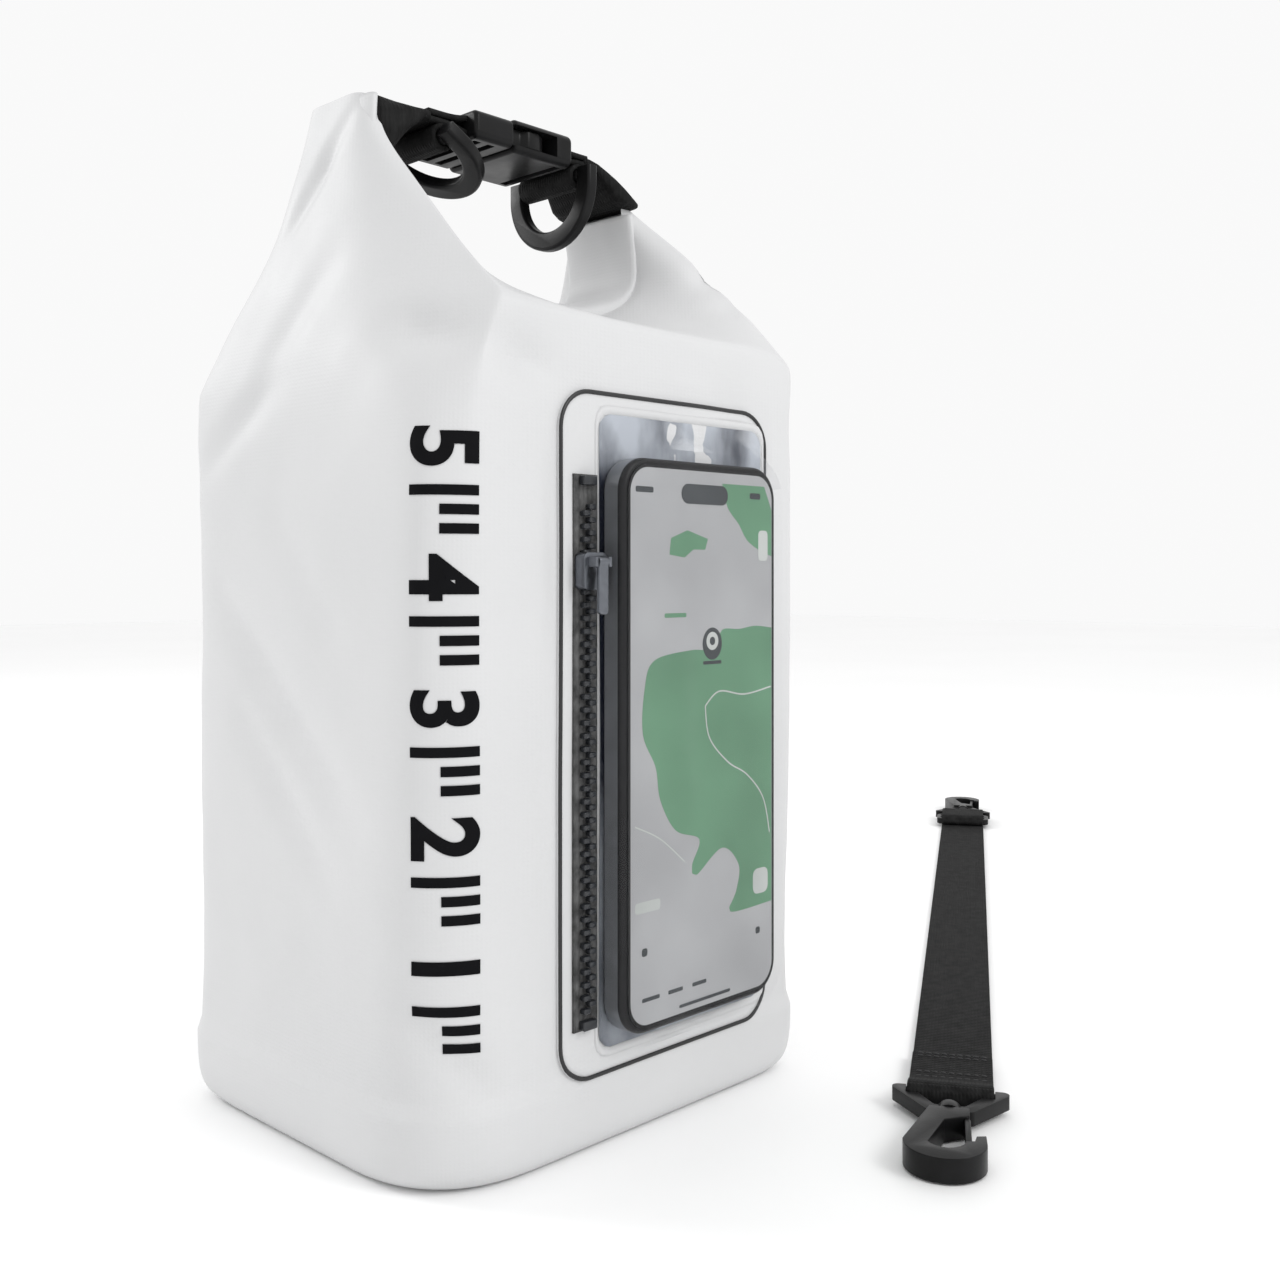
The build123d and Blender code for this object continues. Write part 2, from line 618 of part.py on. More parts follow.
PIN_Y = TAPE_FACE - SLIDER_SIZE[1] - PIN_REACH
PIN_Z = SLIDER_Z + PIN_RISE
PIN_LINE = Plane(origin=(ZIP_X, PIN_Y, PIN_Z), z_dir=(1, 0, 0)).location
with BuildPart() as zip_slider:
    slider_y = TAPE_FACE - SLIDER_GAP - SLIDER_SIZE[1] / 2
    with Locations((ZIP_X, slider_y, SLIDER_Z)):
        Box(*SLIDER_SIZE)
    fillet(zip_slider.edges().filter_by(Axis.Y), SLIDER_CORNER)
    with Locations((ZIP_X, TAPE_FACE - SLIDER_CHANNEL[1] / 2, SLIDER_Z)):
        Box(*SLIDER_CHANNEL, SLIDER_SIZE[2], mode=Mode.SUBTRACT)
    for side in (-1, 1):
        with Locations((ZIP_X + side * EAR_OFFSET[0], PIN_Y + EAR_OFFSET[1], PIN_Z)):
            Box(*EAR_SIZE)
    with Locations(PIN_LINE):
        Cylinder(PIN_RADIUS, PIN_LENGTH)
zip_slider.part.label = "zip_slider"
export_step(zip_slider.part, "parts/zip_slider.step")

with BuildPart() as zip_pull:
    with Locations(PIN_LINE):
        Cylinder(PULL_EYE_RADIUS, PULL_WIDTH)
    with Locations((ZIP_X, PIN_Y - PULL_OFFSET, PIN_Z - PULL_LENGTH / 2)):
        Box(PULL_WIDTH, PULL_THICKNESS, PULL_LENGTH)
    fillet(zip_pull.edges().filter_by(Axis.Y).sort_by(Axis.Z)[:2], PULL_THICKNESS)
    with Locations(PIN_LINE):
        Cylinder(PIN_RADIUS + PIN_GAP, PULL_WIDTH, mode=Mode.SUBTRACT)
zip_pull.part.label = "zip_pull"
export_step(zip_pull.part, "parts/zip_pull.step")

# ================================================================ shoulder strap
LOOP_INNER = BAR_RADIUS + BAR_GAP
LOOP_OUTER = LOOP_INNER + STRAP_WEBBING
LAYER_LOW = BAR_Z - LOOP_OUTER
LAYER_TOP = LAYER_LOW + STRAP_WEBBING
UPPER_LOW = BAR_Z + LOOP_INNER
UPPER_TOP = BAR_Z + LOOP_OUTER
STRIP_END = STRAP_BAR_TO_BAR - FAR_STRIP - WEBBING_GAP


def half_wrap(bar, side):
    """Half of a webbing loop round a bar, on the side away from the strap's middle."""
    with BuildSketch(mode=Mode.PRIVATE) as wrap:
        with Locations((bar, BAR_Z)):
            Circle(LOOP_OUTER)
            Circle(LOOP_INNER, mode=Mode.SUBTRACT)
        with Locations((bar - side * LOOP_OUTER, BAR_Z)):
            Rectangle(2 * LOOP_OUTER, 2 * LOOP_OUTER, mode=Mode.SUBTRACT)
    return wrap.sketch


with BuildPart() as strap_webbing:
    with BuildSketch(STRAP_PROFILE):
        add(half_wrap(0, -1))
        with BuildLine():
            Polyline(
                (0, LAYER_LOW), (STRIP_END, LAYER_LOW), (STRIP_END, LAYER_TOP),
                (0, LAYER_TOP), close=True,
            )
        make_face()
        with BuildLine():
            Polyline(
                (0, UPPER_TOP), (BAR_RADIUS, UPPER_TOP), (SEWN_RAMP, LAYER_TOP + STRAP_WEBBING),
                (SEWN_LENGTH, LAYER_TOP + STRAP_WEBBING), (SEWN_LENGTH, LAYER_TOP),
                (SEWN_RAMP, LAYER_TOP), (BAR_RADIUS, UPPER_LOW), (0, UPPER_LOW), close=True,
            )
        make_face()
    extrude(amount=WEBBING_WIDTH / 2, both=True)
strap_webbing.part.label = "strap_webbing"
export_step(strap_webbing.part, "parts/strap_webbing.step")

with BuildPart() as strap_far_loop:
    with BuildSketch(STRAP_PROFILE):
        add(half_wrap(STRAP_BAR_TO_BAR, 1))
        for low in (LAYER_LOW, UPPER_LOW):
            with Locations((STRAP_BAR_TO_BAR - FAR_STRIP / 2, low + STRAP_WEBBING / 2)):
                Rectangle(FAR_STRIP, STRAP_WEBBING)
    extrude(amount=WEBBING_WIDTH / 2, both=True)
strap_far_loop.part.label = "strap_far_loop"
export_step(strap_far_loop.part, "parts/strap_far_loop.step")

# Second layer from the far loop back over the adjuster, folded down past its near bar.
ADJUSTER_MID = STRAP_BAR_TO_BAR - ADJUSTER_FROM_BAR
RETURN_START = ADJUSTER_MID - ADJUSTER_SIZE[0] / 2 - ADJUSTER_GAP - STRAP_WEBBING
with BuildPart() as strap_return:
    with BuildSketch(STRAP_PROFILE):
        with BuildLine():
            Polyline(
                (RETURN_START, ADJUSTER_Z), (RETURN_START + STRAP_WEBBING, ADJUSTER_Z),
                (RETURN_START + STRAP_WEBBING, UPPER_LOW), (STRIP_END, UPPER_LOW),
                (STRIP_END, UPPER_TOP), (RETURN_START, UPPER_TOP), close=True,
            )
        make_face()
    extrude(amount=WEBBING_WIDTH / 2, both=True)
strap_return.part.label = "strap_return"
export_step(strap_return.part, "parts/strap_return.step")

with BuildPart() as strap_adjuster:
    with BuildSketch(STRAP_FLAT.offset(ADJUSTER_Z)):
        with Locations((ADJUSTER_MID, 0)):
            RectangleRounded(ADJUSTER_SIZE[0], ADJUSTER_SIZE[1], ADJUSTER_CORNER)
            with Locations((-ADJUSTER_SLOT_OFFSET, 0), (ADJUSTER_SLOT_OFFSET, 0)):
                Rectangle(*ADJUSTER_SLOT, mode=Mode.SUBTRACT)
    extrude(amount=ADJUSTER_SIZE[2])
strap_adjuster.part.label = "strap_adjuster"
export_step(strap_adjuster.part, "parts/strap_adjuster.step")


# Triangular ring: a bar for the webbing and an apex barrel that the hook's post turns in.
def strap_ring(end, label):
    """Triangular strap ring at one end of the webbing."""
    with BuildPart(end) as ring:
        with BuildSketch(end.offset(-BAR_RADIUS)):
            with BuildLine():
                Polyline(
                    (0, -RING_HALF_BASE), (0, RING_HALF_BASE), (RING_APEX, RING_HALF_APEX),
                    (RING_APEX, -RING_HALF_APEX), close=True,
                )
            make_face()
            offset(amount=BAR_RADIUS)
            with BuildLine():
                Polyline(*RING_EYE, close=True)
            make_face(mode=Mode.SUBTRACT)
            Rectangle(
                2 * LOOP_OUTER + 2 * RING_GAP, WEBBING_WIDTH + 2 * RING_GAP, mode=Mode.SUBTRACT
            )
        extrude(amount=2 * BAR_RADIUS)
        with Locations(Plane(origin=(0, 0, 0), x_dir=(1, 0, 0), z_dir=(0, 1, 0)).location):
            Cylinder(BAR_RADIUS, WEBBING_WIDTH + 4 * RING_GAP)
        with Locations(Plane(origin=(RING_APEX, 0, 0), x_dir=(0, 1, 0), z_dir=(1, 0, 0)).location):
            Cylinder(BARREL_RADIUS, BARREL_LENGTH)
            Cylinder(POST_RADIUS + POST_GAP, BARREL_LENGTH, mode=Mode.SUBTRACT)
    ring.part.label = label
    export_step(ring.part, f"parts/{label}.step")


def strap_hook(end, label):
    """Snap hook with the swivel post and pointed head that hold it in the ring's barrel."""
    post_mid = (HOOK_BASE + HEAD_END) / 2
    head_mid = (HEAD_TIP + HEAD_END) / 2
    with BuildPart(end) as hook:
        with BuildSketch(end.offset(-HOOK_THICKNESS / 2)):
            with BuildLine():
                Polyline((HOOK_BASE, HOOK_HALF_BASE), (HOOK_BASE, -HOOK_HALF_BASE), HOOK_BELLY[0])
                ThreePointArc(*HOOK_BELLY)
                Polyline(*HOOK_NOSE)
                ThreePointArc(*HOOK_EYE_TOP)
                Polyline(*HOOK_EYE_FOOT)
            make_face()
        extrude(amount=HOOK_THICKNESS)
        with Locations(Plane(origin=(post_mid, 0, 0), z_dir=(1, 0, 0)).location):
            Cylinder(POST_RADIUS, HOOK_BASE - HEAD_END + 2 * POST_OVERLAP)
        with Locations(Plane(origin=(head_mid, 0, 0), z_dir=(1, 0, 0)).location):
            Cone(*HEAD_RADII, HEAD_END - HEAD_TIP)
    hook.part.label = label
    export_step(hook.part, f"parts/{label}.step")


def strap_gate(end, label):
    """Springy tongue that closes the hook's mouth behind its nose, round at its root."""
    root_x, root_y = GATE_ROOT
    tip_x, tip_y = GATE_TIP
    with BuildPart(end) as gate:
        with BuildSketch(end.offset(GATE_INSET - HOOK_THICKNESS / 2)):
            with BuildLine():
                Polyline(
                    (root_x, root_y - GATE_THICKNESS), (tip_x, tip_y - GATE_THICKNESS),
                    GATE_TIP, GATE_ROOT, close=True,
                )
            make_face()
            with Locations((root_x, root_y - GATE_THICKNESS / 2)):
                Circle(GATE_THICKNESS / 2)
        extrude(amount=HOOK_THICKNESS - 2 * GATE_INSET)
    gate.part.label = label
    export_step(gate.part, f"parts/{label}.step")


for end_name, end_plane in (("near", NEAR_END), ("far", FAR_END)):
    strap_ring(end_plane, f"strap_ring_{end_name}")
    strap_hook(end_plane, f"strap_hook_{end_name}")
    strap_gate(end_plane, f"strap_gate_{end_name}")
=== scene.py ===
import json
import math
from contextlib import contextmanager

import bmesh
import bpy
import numpy as np
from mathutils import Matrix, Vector, noise
from mathutils.bvhtree import BVHTree

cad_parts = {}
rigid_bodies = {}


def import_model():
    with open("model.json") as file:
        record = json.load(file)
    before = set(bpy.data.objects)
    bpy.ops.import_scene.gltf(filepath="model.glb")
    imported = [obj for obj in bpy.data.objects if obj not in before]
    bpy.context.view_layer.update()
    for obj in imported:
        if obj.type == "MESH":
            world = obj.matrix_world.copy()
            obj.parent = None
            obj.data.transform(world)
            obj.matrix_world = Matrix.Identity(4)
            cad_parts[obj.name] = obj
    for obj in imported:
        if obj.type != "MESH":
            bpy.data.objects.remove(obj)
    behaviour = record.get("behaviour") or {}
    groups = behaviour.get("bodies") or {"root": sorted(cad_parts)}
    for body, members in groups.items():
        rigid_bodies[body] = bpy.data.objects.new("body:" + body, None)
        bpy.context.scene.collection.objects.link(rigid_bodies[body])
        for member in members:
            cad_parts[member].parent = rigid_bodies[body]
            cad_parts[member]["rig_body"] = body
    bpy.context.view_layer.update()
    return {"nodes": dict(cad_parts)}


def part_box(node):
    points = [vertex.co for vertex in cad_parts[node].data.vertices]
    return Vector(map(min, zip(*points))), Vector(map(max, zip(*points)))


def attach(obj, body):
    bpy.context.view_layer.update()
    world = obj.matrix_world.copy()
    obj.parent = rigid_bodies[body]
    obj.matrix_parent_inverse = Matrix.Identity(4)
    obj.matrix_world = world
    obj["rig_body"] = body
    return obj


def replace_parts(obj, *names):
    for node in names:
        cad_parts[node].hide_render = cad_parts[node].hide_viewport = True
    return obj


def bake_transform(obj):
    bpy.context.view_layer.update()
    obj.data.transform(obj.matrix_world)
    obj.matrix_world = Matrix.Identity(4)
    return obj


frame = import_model()
MM = 0.001
CAMERA_PLACE = (-0.2745, -0.3234, 0.157)
CAMERA_HEADING = 46.13  # degrees, 0 along +Y and positive towards +X
CAMERA_LENS = 37.97
CAMERA_SHIFT = -0.0508
FLOOR_REACH = 4


# ---------------------------------------------------------------- camera, light, stage
def linked(obj):
    """Puts a new object in the scene."""
    bpy.context.scene.collection.objects.link(obj)
    return obj


def make_camera():
    """Level camera, placed where the photograph was taken from."""
    camera = linked(bpy.data.objects.new("camera", bpy.data.cameras.new("camera")))
    camera.data.lens = CAMERA_LENS
    camera.data.sensor_width = 36
    camera.data.shift_y = CAMERA_SHIFT
    camera.data.clip_start = 0.01
    camera.location = CAMERA_PLACE
    camera.rotation_euler = (math.pi / 2, 0, -math.radians(CAMERA_HEADING))
    bpy.context.scene.camera = camera


def area_light(name, location, target, size, watts):
    light = linked(bpy.data.objects.new(name, bpy.data.lights.new(name, "AREA")))
    light.data.size = size
    light.data.energy = watts
    light.location = location
    light.rotation_euler = (Vector(target) - Vector(location)).to_track_quat("-Z", "Y").to_euler()


def studio():
    make_camera()
    area_light("key", (0.3, -1.4, 1.1), (0, 0, 0.12), 0.6, 9.0)
    area_light("rim", (-0.75, 1.3, 0.9), (0, 0, 0.2), 0.45, 8.0)
    world = bpy.data.worlds.new("studio")
    world.use_nodes = True
    sky = world.node_tree.nodes["Background"].inputs
    sky["Color"].default_value = (1, 1, 1, 1)
    sky["Strength"].default_value = 0.95
    bpy.context.scene.world = world
    bpy.context.scene.view_settings.view_transform = "Standard"
    corners = [(x * FLOOR_REACH, y * FLOOR_REACH, 0) for x, y in ((-1, -1), (1, -1), (1, 1), (-1, 1))]
    floor = mesh_object("floor", corners, [(0, 1, 2, 3)], floor_material())


# ---------------------------------------------------------------- mesh helpers
def mesh_object(name, points, faces, material=None, smooth=True):
    """New mesh object from points in metres."""
    mesh = bpy.data.meshes.new(name)
    mesh.from_pydata([tuple(p) for p in points], [], [tuple(f) for f in faces])
    mesh.update()
    if material:
        mesh.materials.append(material)
    if smooth:
        shade_smooth(mesh)
    return linked(bpy.data.objects.new(name, mesh))


def shade_smooth(mesh):
    mesh.polygons.foreach_set("use_smooth", [True] * len(mesh.polygons))


@contextmanager
def editing(mesh):
    """Opens a mesh for editing, and writes it back at the end."""
    model = bmesh.new()
    model.from_mesh(mesh)
    yield model
    model.to_mesh(mesh)
    model.free()


def baked(obj):
    """Replaces an object's mesh by its evaluated one, with every modifier applied."""
    graph = bpy.context.evaluated_depsgraph_get()
    graph.update()
    mesh = bpy.data.meshes.new_from_object(obj.evaluated_get(graph))
    obj.modifiers.clear()
    obj.data = mesh
    return obj


def subdivided(obj, levels):
    modifier = obj.modifiers.new("surface", "SUBSURF")
    modifier.levels = levels
    modifier.render_levels = levels
    return baked(obj)


def bevelled(obj, width, segments=3, angle=32):
    modifier = obj.modifiers.new("edges", "BEVEL")
    modifier.width = width
    modifier.segments = segments
    modifier.limit_method = "ANGLE"
    modifier.angle_limit = math.radians(angle)
    modifier.use_clamp_overlap = True
    baked(obj)
    shade_smooth(obj.data)
    obj.data.set_sharp_from_angle(angle=math.radians(40))
    return obj


def fix_normals(obj):
    with editing(obj.data) as model:
        bmesh.ops.recalc_face_normals(model, faces=model.faces)
    return obj


def refinish(node_name, material):
    """Gives a finish to a piece that stays in its CAD shape."""
    materials = frame["nodes"][node_name].data.materials
    materials.clear()
    materials.append(material)


def moulded(node, material, width=0.6):
    """A moulded part in its CAD node's shape, with its edges rounded off."""
    source = frame["nodes"][node]
    mesh = source.data.copy()
    mesh.materials.clear()
    mesh.materials.append(material)
    obj = linked(bpy.data.objects.new(node + "_moulded", mesh))
    with editing(mesh) as model:
        bmesh.ops.remove_doubles(model, verts=model.verts, dist=1e-6)
        bmesh.ops.dissolve_limit(model, angle_limit=math.radians(1), verts=model.verts, edges=model.edges)
    bevelled(obj, width * MM)
    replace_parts(obj, node)
    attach(obj, source["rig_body"])
    return obj


def grid_faces(rows, columns, closed=False):
    """Quads of a grid stored row by row."""
    faces = []
    last = columns if closed else columns - 1
    for row in range(rows - 1):
        for column in range(last):
            after = (column + 1) % columns
            here = row * columns
            faces.append((here + column, here + after, here + columns + after, here + columns + column))
    return faces


def end_faces(rows, columns):
    """The two faces that close the ends of a tube stored row by row."""
    last = (rows - 1) * columns
    return [tuple(range(columns))[::-1], tuple(range(last, last + columns))]


def swung(angle, power):
    """Cosine and sine of an angle, squared off by powers below 1."""
    parts = zip((math.cos(angle), math.sin(angle)), power)
    return [math.copysign(abs(value) ** exponent, value) for value, exponent in parts]


def run_at(line, index):
    """Direction of a line in the plane at one of its points."""
    before = line[max(0, index - 1)]
    after = line[min(len(line) - 1, index + 1)]
    return Vector((after[0] - before[0], after[1] - before[1])).normalized()


def rounded_outline(width, height, radius, step):
    """Closed outline of a rounded rectangle about the origin, in order, evenly spaced."""
    points = []
    straight_x = width / 2 - radius
    straight_y = height / 2 - radius
    corners = ((straight_x, straight_y, 0), (-straight_x, straight_y, 90),
               (-straight_x, -straight_y, 180), (straight_x, -straight_y, 270))
    arc_steps = max(3, int(radius * math.pi / 2 / step))
    for index, (cx, cy, start) in enumerate(corners):
        for k in range(arc_steps + 1):
            angle = math.radians(start + 90 * k / arc_steps)
            points.append((cx + radius * math.cos(angle), cy + radius * math.sin(angle)))
        nx, ny, turn = corners[(index + 1) % 4]
        angle = math.radians(turn)
        target = (nx + radius * math.cos(angle), ny + radius * math.sin(angle))
        span = math.dist(points[-1], target)
        pieces = int(span / step)
        here = points[-1]
        for k in range(1, pieces):
            part = k / pieces
            points.append((here[0] + (target[0] - here[0]) * part, here[1] + (target[1] - here[1]) * part))
    return points


def strip(name, path, width, thickness, place, material):
    """Flat webbing along a path of (along, up) points in mm; place turns (along, across, up)
    in mm into world metres. The section has rounded selvedges."""
    smooth_path = smooth_line(path, 1.2)
    half = width / 2
    edge = thickness / 2
    section = [(-half + edge * 0.3, -edge), (-half * 0.9, -edge), (0, -edge), (half * 0.9, -edge),
               (half - edge * 0.3, -edge), (half, 0), (half - edge * 0.3, edge), (half * 0.9, edge),
               (0, edge), (-half * 0.9, edge), (-half + edge * 0.3, edge), (-half, 0)]
    points = []
    for index, (along, up) in enumerate(smooth_path):
        run = run_at(smooth_path, index)
        for across, height in section:
            points.append(place(along - run[1] * height, across, up + run[0] * height))
    size = (len(smooth_path), len(section))
    faces = grid_faces(*size, closed=True) + end_faces(*size)
    return fix_normals(mesh_object(name, points, faces, material))


def smooth_line(points, step):
    """Catmull-Rom line through points in the plane, at about the given step in mm."""
    line = []
    ends = [points[0]] + list(points) + [points[-1]]
    for a, b, c, d in zip(ends, ends[1:], ends[2:], ends[3:]):
        pieces = max(1, int(math.dist(b, c) / step))
        for k in range(pieces):
            t = k / pieces
            line.append(tuple(
                0.5 * (2 * q + (r - p) * t + (2 * p - 5 * q + 4 * r - s) * t ** 2
                       + (3 * q - p - 3 * r + s) * t ** 3)
                for p, q, r, s in zip(a, b, c, d)
            ))
    line.append(tuple(points[-1]))
    return line


# ---------------------------------------------------------------- materials
def new_material(name, color, roughness, **values):
    material = bpy.data.materials.new(name)
    material.use_nodes = True
    shader = material.node_tree.nodes["Principled BSDF"]
    shader.inputs["Base Color"].default_value = (*color, 1)
    shader.inputs["Roughness"].default_value = roughness
    for key, value in values.items():
        shader.inputs[key.replace("_", " ")].default_value = value
    return material


def node(material, kind, **settings):
    made = material.node_tree.nodes.new(kind)
    for key, value in settings.items():
        if key in made.inputs.keys():
            made.inputs[key].default_value = value
        else:
            setattr(made, key, value)
    return made


def link(material, start, start_socket, end, end_socket):
    material.node_tree.links.new(start.outputs[start_socket], end.inputs[end_socket])


def shader_of(material):
    return material.node_tree.nodes["Principled BSDF"]


def texture(material, kind, stretch=(1, 1, 1), turn=(0, 0, 0), **settings):
    """A texture laid out in the object's own coordinates."""
    place = node(material, "ShaderNodeTexCoord")
    mapping = node(material, "ShaderNodeMapping", Scale=stretch, Rotation=turn)
    made = node(material, kind, **settings)
    link(material, place, "Object", mapping, "Vector")
    link(material, mapping, "Vector", made, "Vector")
    return made


def tint_noise(material, scale, dark, light, detail=3.0, stretch=(1, 1, 1)):
    """Colour that wanders between two tones: random tone on most finishes, painted reflection streaks on the
    foil.
    """
    cloud = texture(material, "ShaderNodeTexNoise", stretch, Scale=scale, Detail=detail)
    ramp = node(material, "ShaderNodeValToRGB")
    ramp.color_ramp.elements[0].position = 0.3
    ramp.color_ramp.elements[1].position = 0.7
    ramp.color_ramp.elements[0].color = (*dark, 1)
    ramp.color_ramp.elements[1].color = (*light, 1)
    link(material, cloud, "Fac", ramp, "Fac")
    link(material, ramp, "Color", shader_of(material), "Base Color")
    return ramp


def roughness_noise(material, scale, low, high):
    cloud = texture(material, "ShaderNodeTexNoise", Scale=scale, Detail=4.0)
    span = node(material, "ShaderNodeMapRange", **{"To Min": low, "To Max": high})
    link(material, cloud, "Fac", span, "Value")
    link(material, span, "Result", shader_of(material), "Roughness")


def bands(material, direction, period, turn=(0, 0, 0)):
    """Even stripes a given period apart, in metres, along one turned axis."""
    scale = math.pi / 10 / period
    return texture(material, "ShaderNodeTexWave", turn=turn, Scale=scale, bands_direction=direction)


def combine(material, operation, first, second):
    mix = node(material, "ShaderNodeMath", operation=operation)
    link(material, first[0], first[1], mix, 0)
    link(material, second[0], second[1], mix, 1)
    return mix


def bump(material, source, socket, distance, strength, normal=None):
    made = node(material, "ShaderNodeBump", Strength=strength, Distance=distance)
    link(material, source, socket, made, "Height")
    if normal:
        link(material, normal, "Normal", made, "Normal")
    link(material, made, "Normal", shader_of(material), "Normal")
    return made


def floor_material():
    material = new_material("floor_pale", (0.93, 0.93, 0.93), 0.6)
    tint_noise(material, 3.0, (0.97, 0.97, 0.97), (0.985, 0.985, 0.985))
    return material


def coated_fabric(name, dark, light):
    """PVC-coated tarpaulin: fine base cloth showing through a soft satin coat."""
    material = new_material(name, light, 0.5, Specular_IOR_Level=0.35)
    tint_noise(material, 14.0, dark, light)
    roughness_noise(material, 60.0, 0.44, 0.58)
    warp = bands(material, "X", 0.0011, (0, 0, math.radians(45)))
    weft = bands(material, "Z", 0.0011)
    cloth = combine(material, "MULTIPLY", (warp, "Fac"), (weft, "Fac"))
    fine = bump(material, cloth, "Value", 0.00006, 0.35)
    soft = texture(material, "ShaderNodeTexNoise", Scale=26.0, Detail=5.0, Roughness=0.55)
    bump(material, soft, "Fac", 0.0012, 0.28, fine)
    return material


def webbing_material(name, along_turn, tone=0.008):
    """Woven polyester webbing, ribbed across and twilled along."""
    material = new_material(name, (tone, tone, tone), 0.8, Specular_IOR_Level=0.16)
    tint_noise(material, 320.0, (tone * 0.6,) * 3, (tone * 1.9,) * 3)
    ribs = bands(material, "X", 0.0016, (0, 0, along_turn))
    twill = bands(material, "Y", 0.0011, (0, 0, along_turn))
    cloth = combine(material, "MULTIPLY", (ribs, "Fac"), (twill, "Fac"))
    bump(material, cloth, "Value", 0.0003, 0.8)
    return material


def moulded_plastic(name, tone):
    """Black acetal with a light moulded grain and rubbed gloss."""
    material = new_material(name, (tone, tone, tone * 1.08), 0.3, Specular_IOR_Level=0.16)
    tint_noise(material, 90.0, (tone * 0.75,) * 3, (tone * 1.4, tone * 1.4, tone * 1.5))
    roughness_noise(material, 240.0, 0.26, 0.42)
    grain = texture(material, "ShaderNodeTexNoise", Scale=1500.0, Detail=2.0)
    bump(material, grain, "Fac", 0.00006, 0.3)
    return material


def foil_material():
    """Silvery laminate behind the film: a crinkled bump that catches light, plus painted light and dark
    reflection streaks in its colour.
    """
    material = new_material("foil", (0.42, 0.45, 0.5), 0.34, Metallic=0.25)
    # painted reflection: stretched noise streaks the base colour from near black to light silver, standing
    # in for light caught on the creases
    ramp = tint_noise(material, 42.0, (0.012, 0.016, 0.03), (0.42, 0.45, 0.5), 6.0, (1, 1, 0.45))
    ramp.color_ramp.elements[0].position = 0.4
    ramp.color_ramp.elements[1].position = 0.62
    crinkle = texture(material, "ShaderNodeTexVoronoi", Scale=120.0)
    bump(material, crinkle, "Distance", 0.0008, 0.5)
    return material


def film_material(name, clear, glare_alpha, gloss):
    """Clear flexible film; noise raises its alpha in streaks, showing its white base colour as painted
    glare.
    """
    material = new_material(name, (0.93, 0.95, 0.98), 0.09, Specular_IOR_Level=gloss)
    cloud = texture(material, "ShaderNodeTexNoise", (1, 1, 0.3), Scale=45.0, Detail=4.0)
    # painted highlight: where the noise is high the film turns opaque white, standing in for glare on the
    # creases
    limits = {"From Min": 0.55, "From Max": 0.8, "To Min": clear, "To Max": glare_alpha}
    span = node(material, "ShaderNodeMapRange", **limits)
    link(material, cloud, "Fac", span, "Value")
    link(material, span, "Result", shader_of(material), "Alpha")
    bump(material, cloud, "Fac", 0.0014, 0.5)
    return material


def plain_detail(name, color, roughness, scale=200.0, **values):
    """Small-part finish with a slight mottle."""
    material = new_material(name, color, roughness, **values)
    darker = tuple(c * 0.8 for c in color)
    tint_noise(material, scale, darker, color)
    roughness_noise(material, scale * 2, roughness * 0.85, min(1, roughness * 1.15))
    return material


def dull(material, level):
    """The same finish with a weaker surface reflection."""
    shader_of(material).inputs["Specular IOR Level"].default_value = level
    return material


WHITE = coated_fabric("white_fabric", (0.59, 0.593, 0.598), (0.62, 0.622, 0.627))
WELD = coated_fabric("weld_fabric", (0.57, 0.572, 0.578), (0.605, 0.607, 0.612))
PLASTIC = moulded_plastic("black_plastic", 0.006)
STRAP_TURN = -math.radians(30)
STRAP_WEAVE = webbing_material("strap_webbing", STRAP_TURN)
TOP_WEAVE = webbing_material("top_webbing", 0, 0.007)
# foil backing with painted reflection streaks in its colour
FOIL = foil_material()
FILM = film_material("film_clear", 0.01, 0.03, 0.08)
# second film finish: strong opaque white streaks of painted glare
FILM_PAINTED_GLARE = film_material("film_painted_glare", 0.03, 0.5, 0.8)


# ---------------------------------------------------------------- bag
# Stations run round the front half, from the middle of the left side panel to the middle of
# the right one. Rows run up from the base to the front of the rolled mouth. Points in mm.
BODY_ROWS = (
    # height, half width, half depth, corner radii: front left, front right, back
    (0.6, 71.0, 57.5, 27.0, 13.0, 13.0),
    (3.5, 74.2, 60.6, 27.0, 13.0, 13.0),
    (10.0, 75.2, 61.4, 26.0, 12.0, 12.0),
    (20.0, 75.4, 61.6, 25.0, 12.0, 12.0),
    (24.5, 74.4, 60.7, 25.0, 12.0, 12.0),
    (42.0, 74.0, 60.5, 23.0, 12.0, 12.0),
    (75.0, 74.0, 60.6, 20.0, 11.0, 12.0),
    (110.0, 74.2, 60.7, 16.0, 10.0, 12.0),
    (150.0, 74.2, 60.7, 12.0, 9.0, 12.0),
    (185.0, 74.2, 60.6, 10.0, 8.0, 11.0),
)
SHOULDER_ROW = (
    (-74.2, 0, 208), (-74, -24, 208), (-72.5, -41, 208), (-67.5, -52, 208.5), (-58.5, -59, 209),
    (-50.5, -60.8, 209.5), (-38, -60.9, 210), (-20, -60.9, 210), (0, -60.9, 210), (20, -60.9, 210),
    (42, -60.9, 210), (58, -60.8, 209), (67, -60.2, 208), (72.4, -57.5, 207), (74.2, -50, 206),
    (74.2, -25, 206), (74.2, 0, 206),
)
CREST_ROW = (
    (-71.3, 0, 228), (-70.6, -19, 228), (-66, -36, 228.5), (-57.5, -49.5, 229.5), (-50.3, -58.6, 229.8),
    (-45.5, -60.3, 228.8), (-36, -60.3, 228.3), (-20, -60.2, 227.6), (0, -60.2, 227.2), (20, -60.2, 227),
    (42, -60.3, 227), (58, -60.1, 226.5), (67, -59.5, 225.5), (72.6, -57.5, 223.5), (73.2, -48, 223),
    (73, -24, 222.5), (73, 0, 222),
)
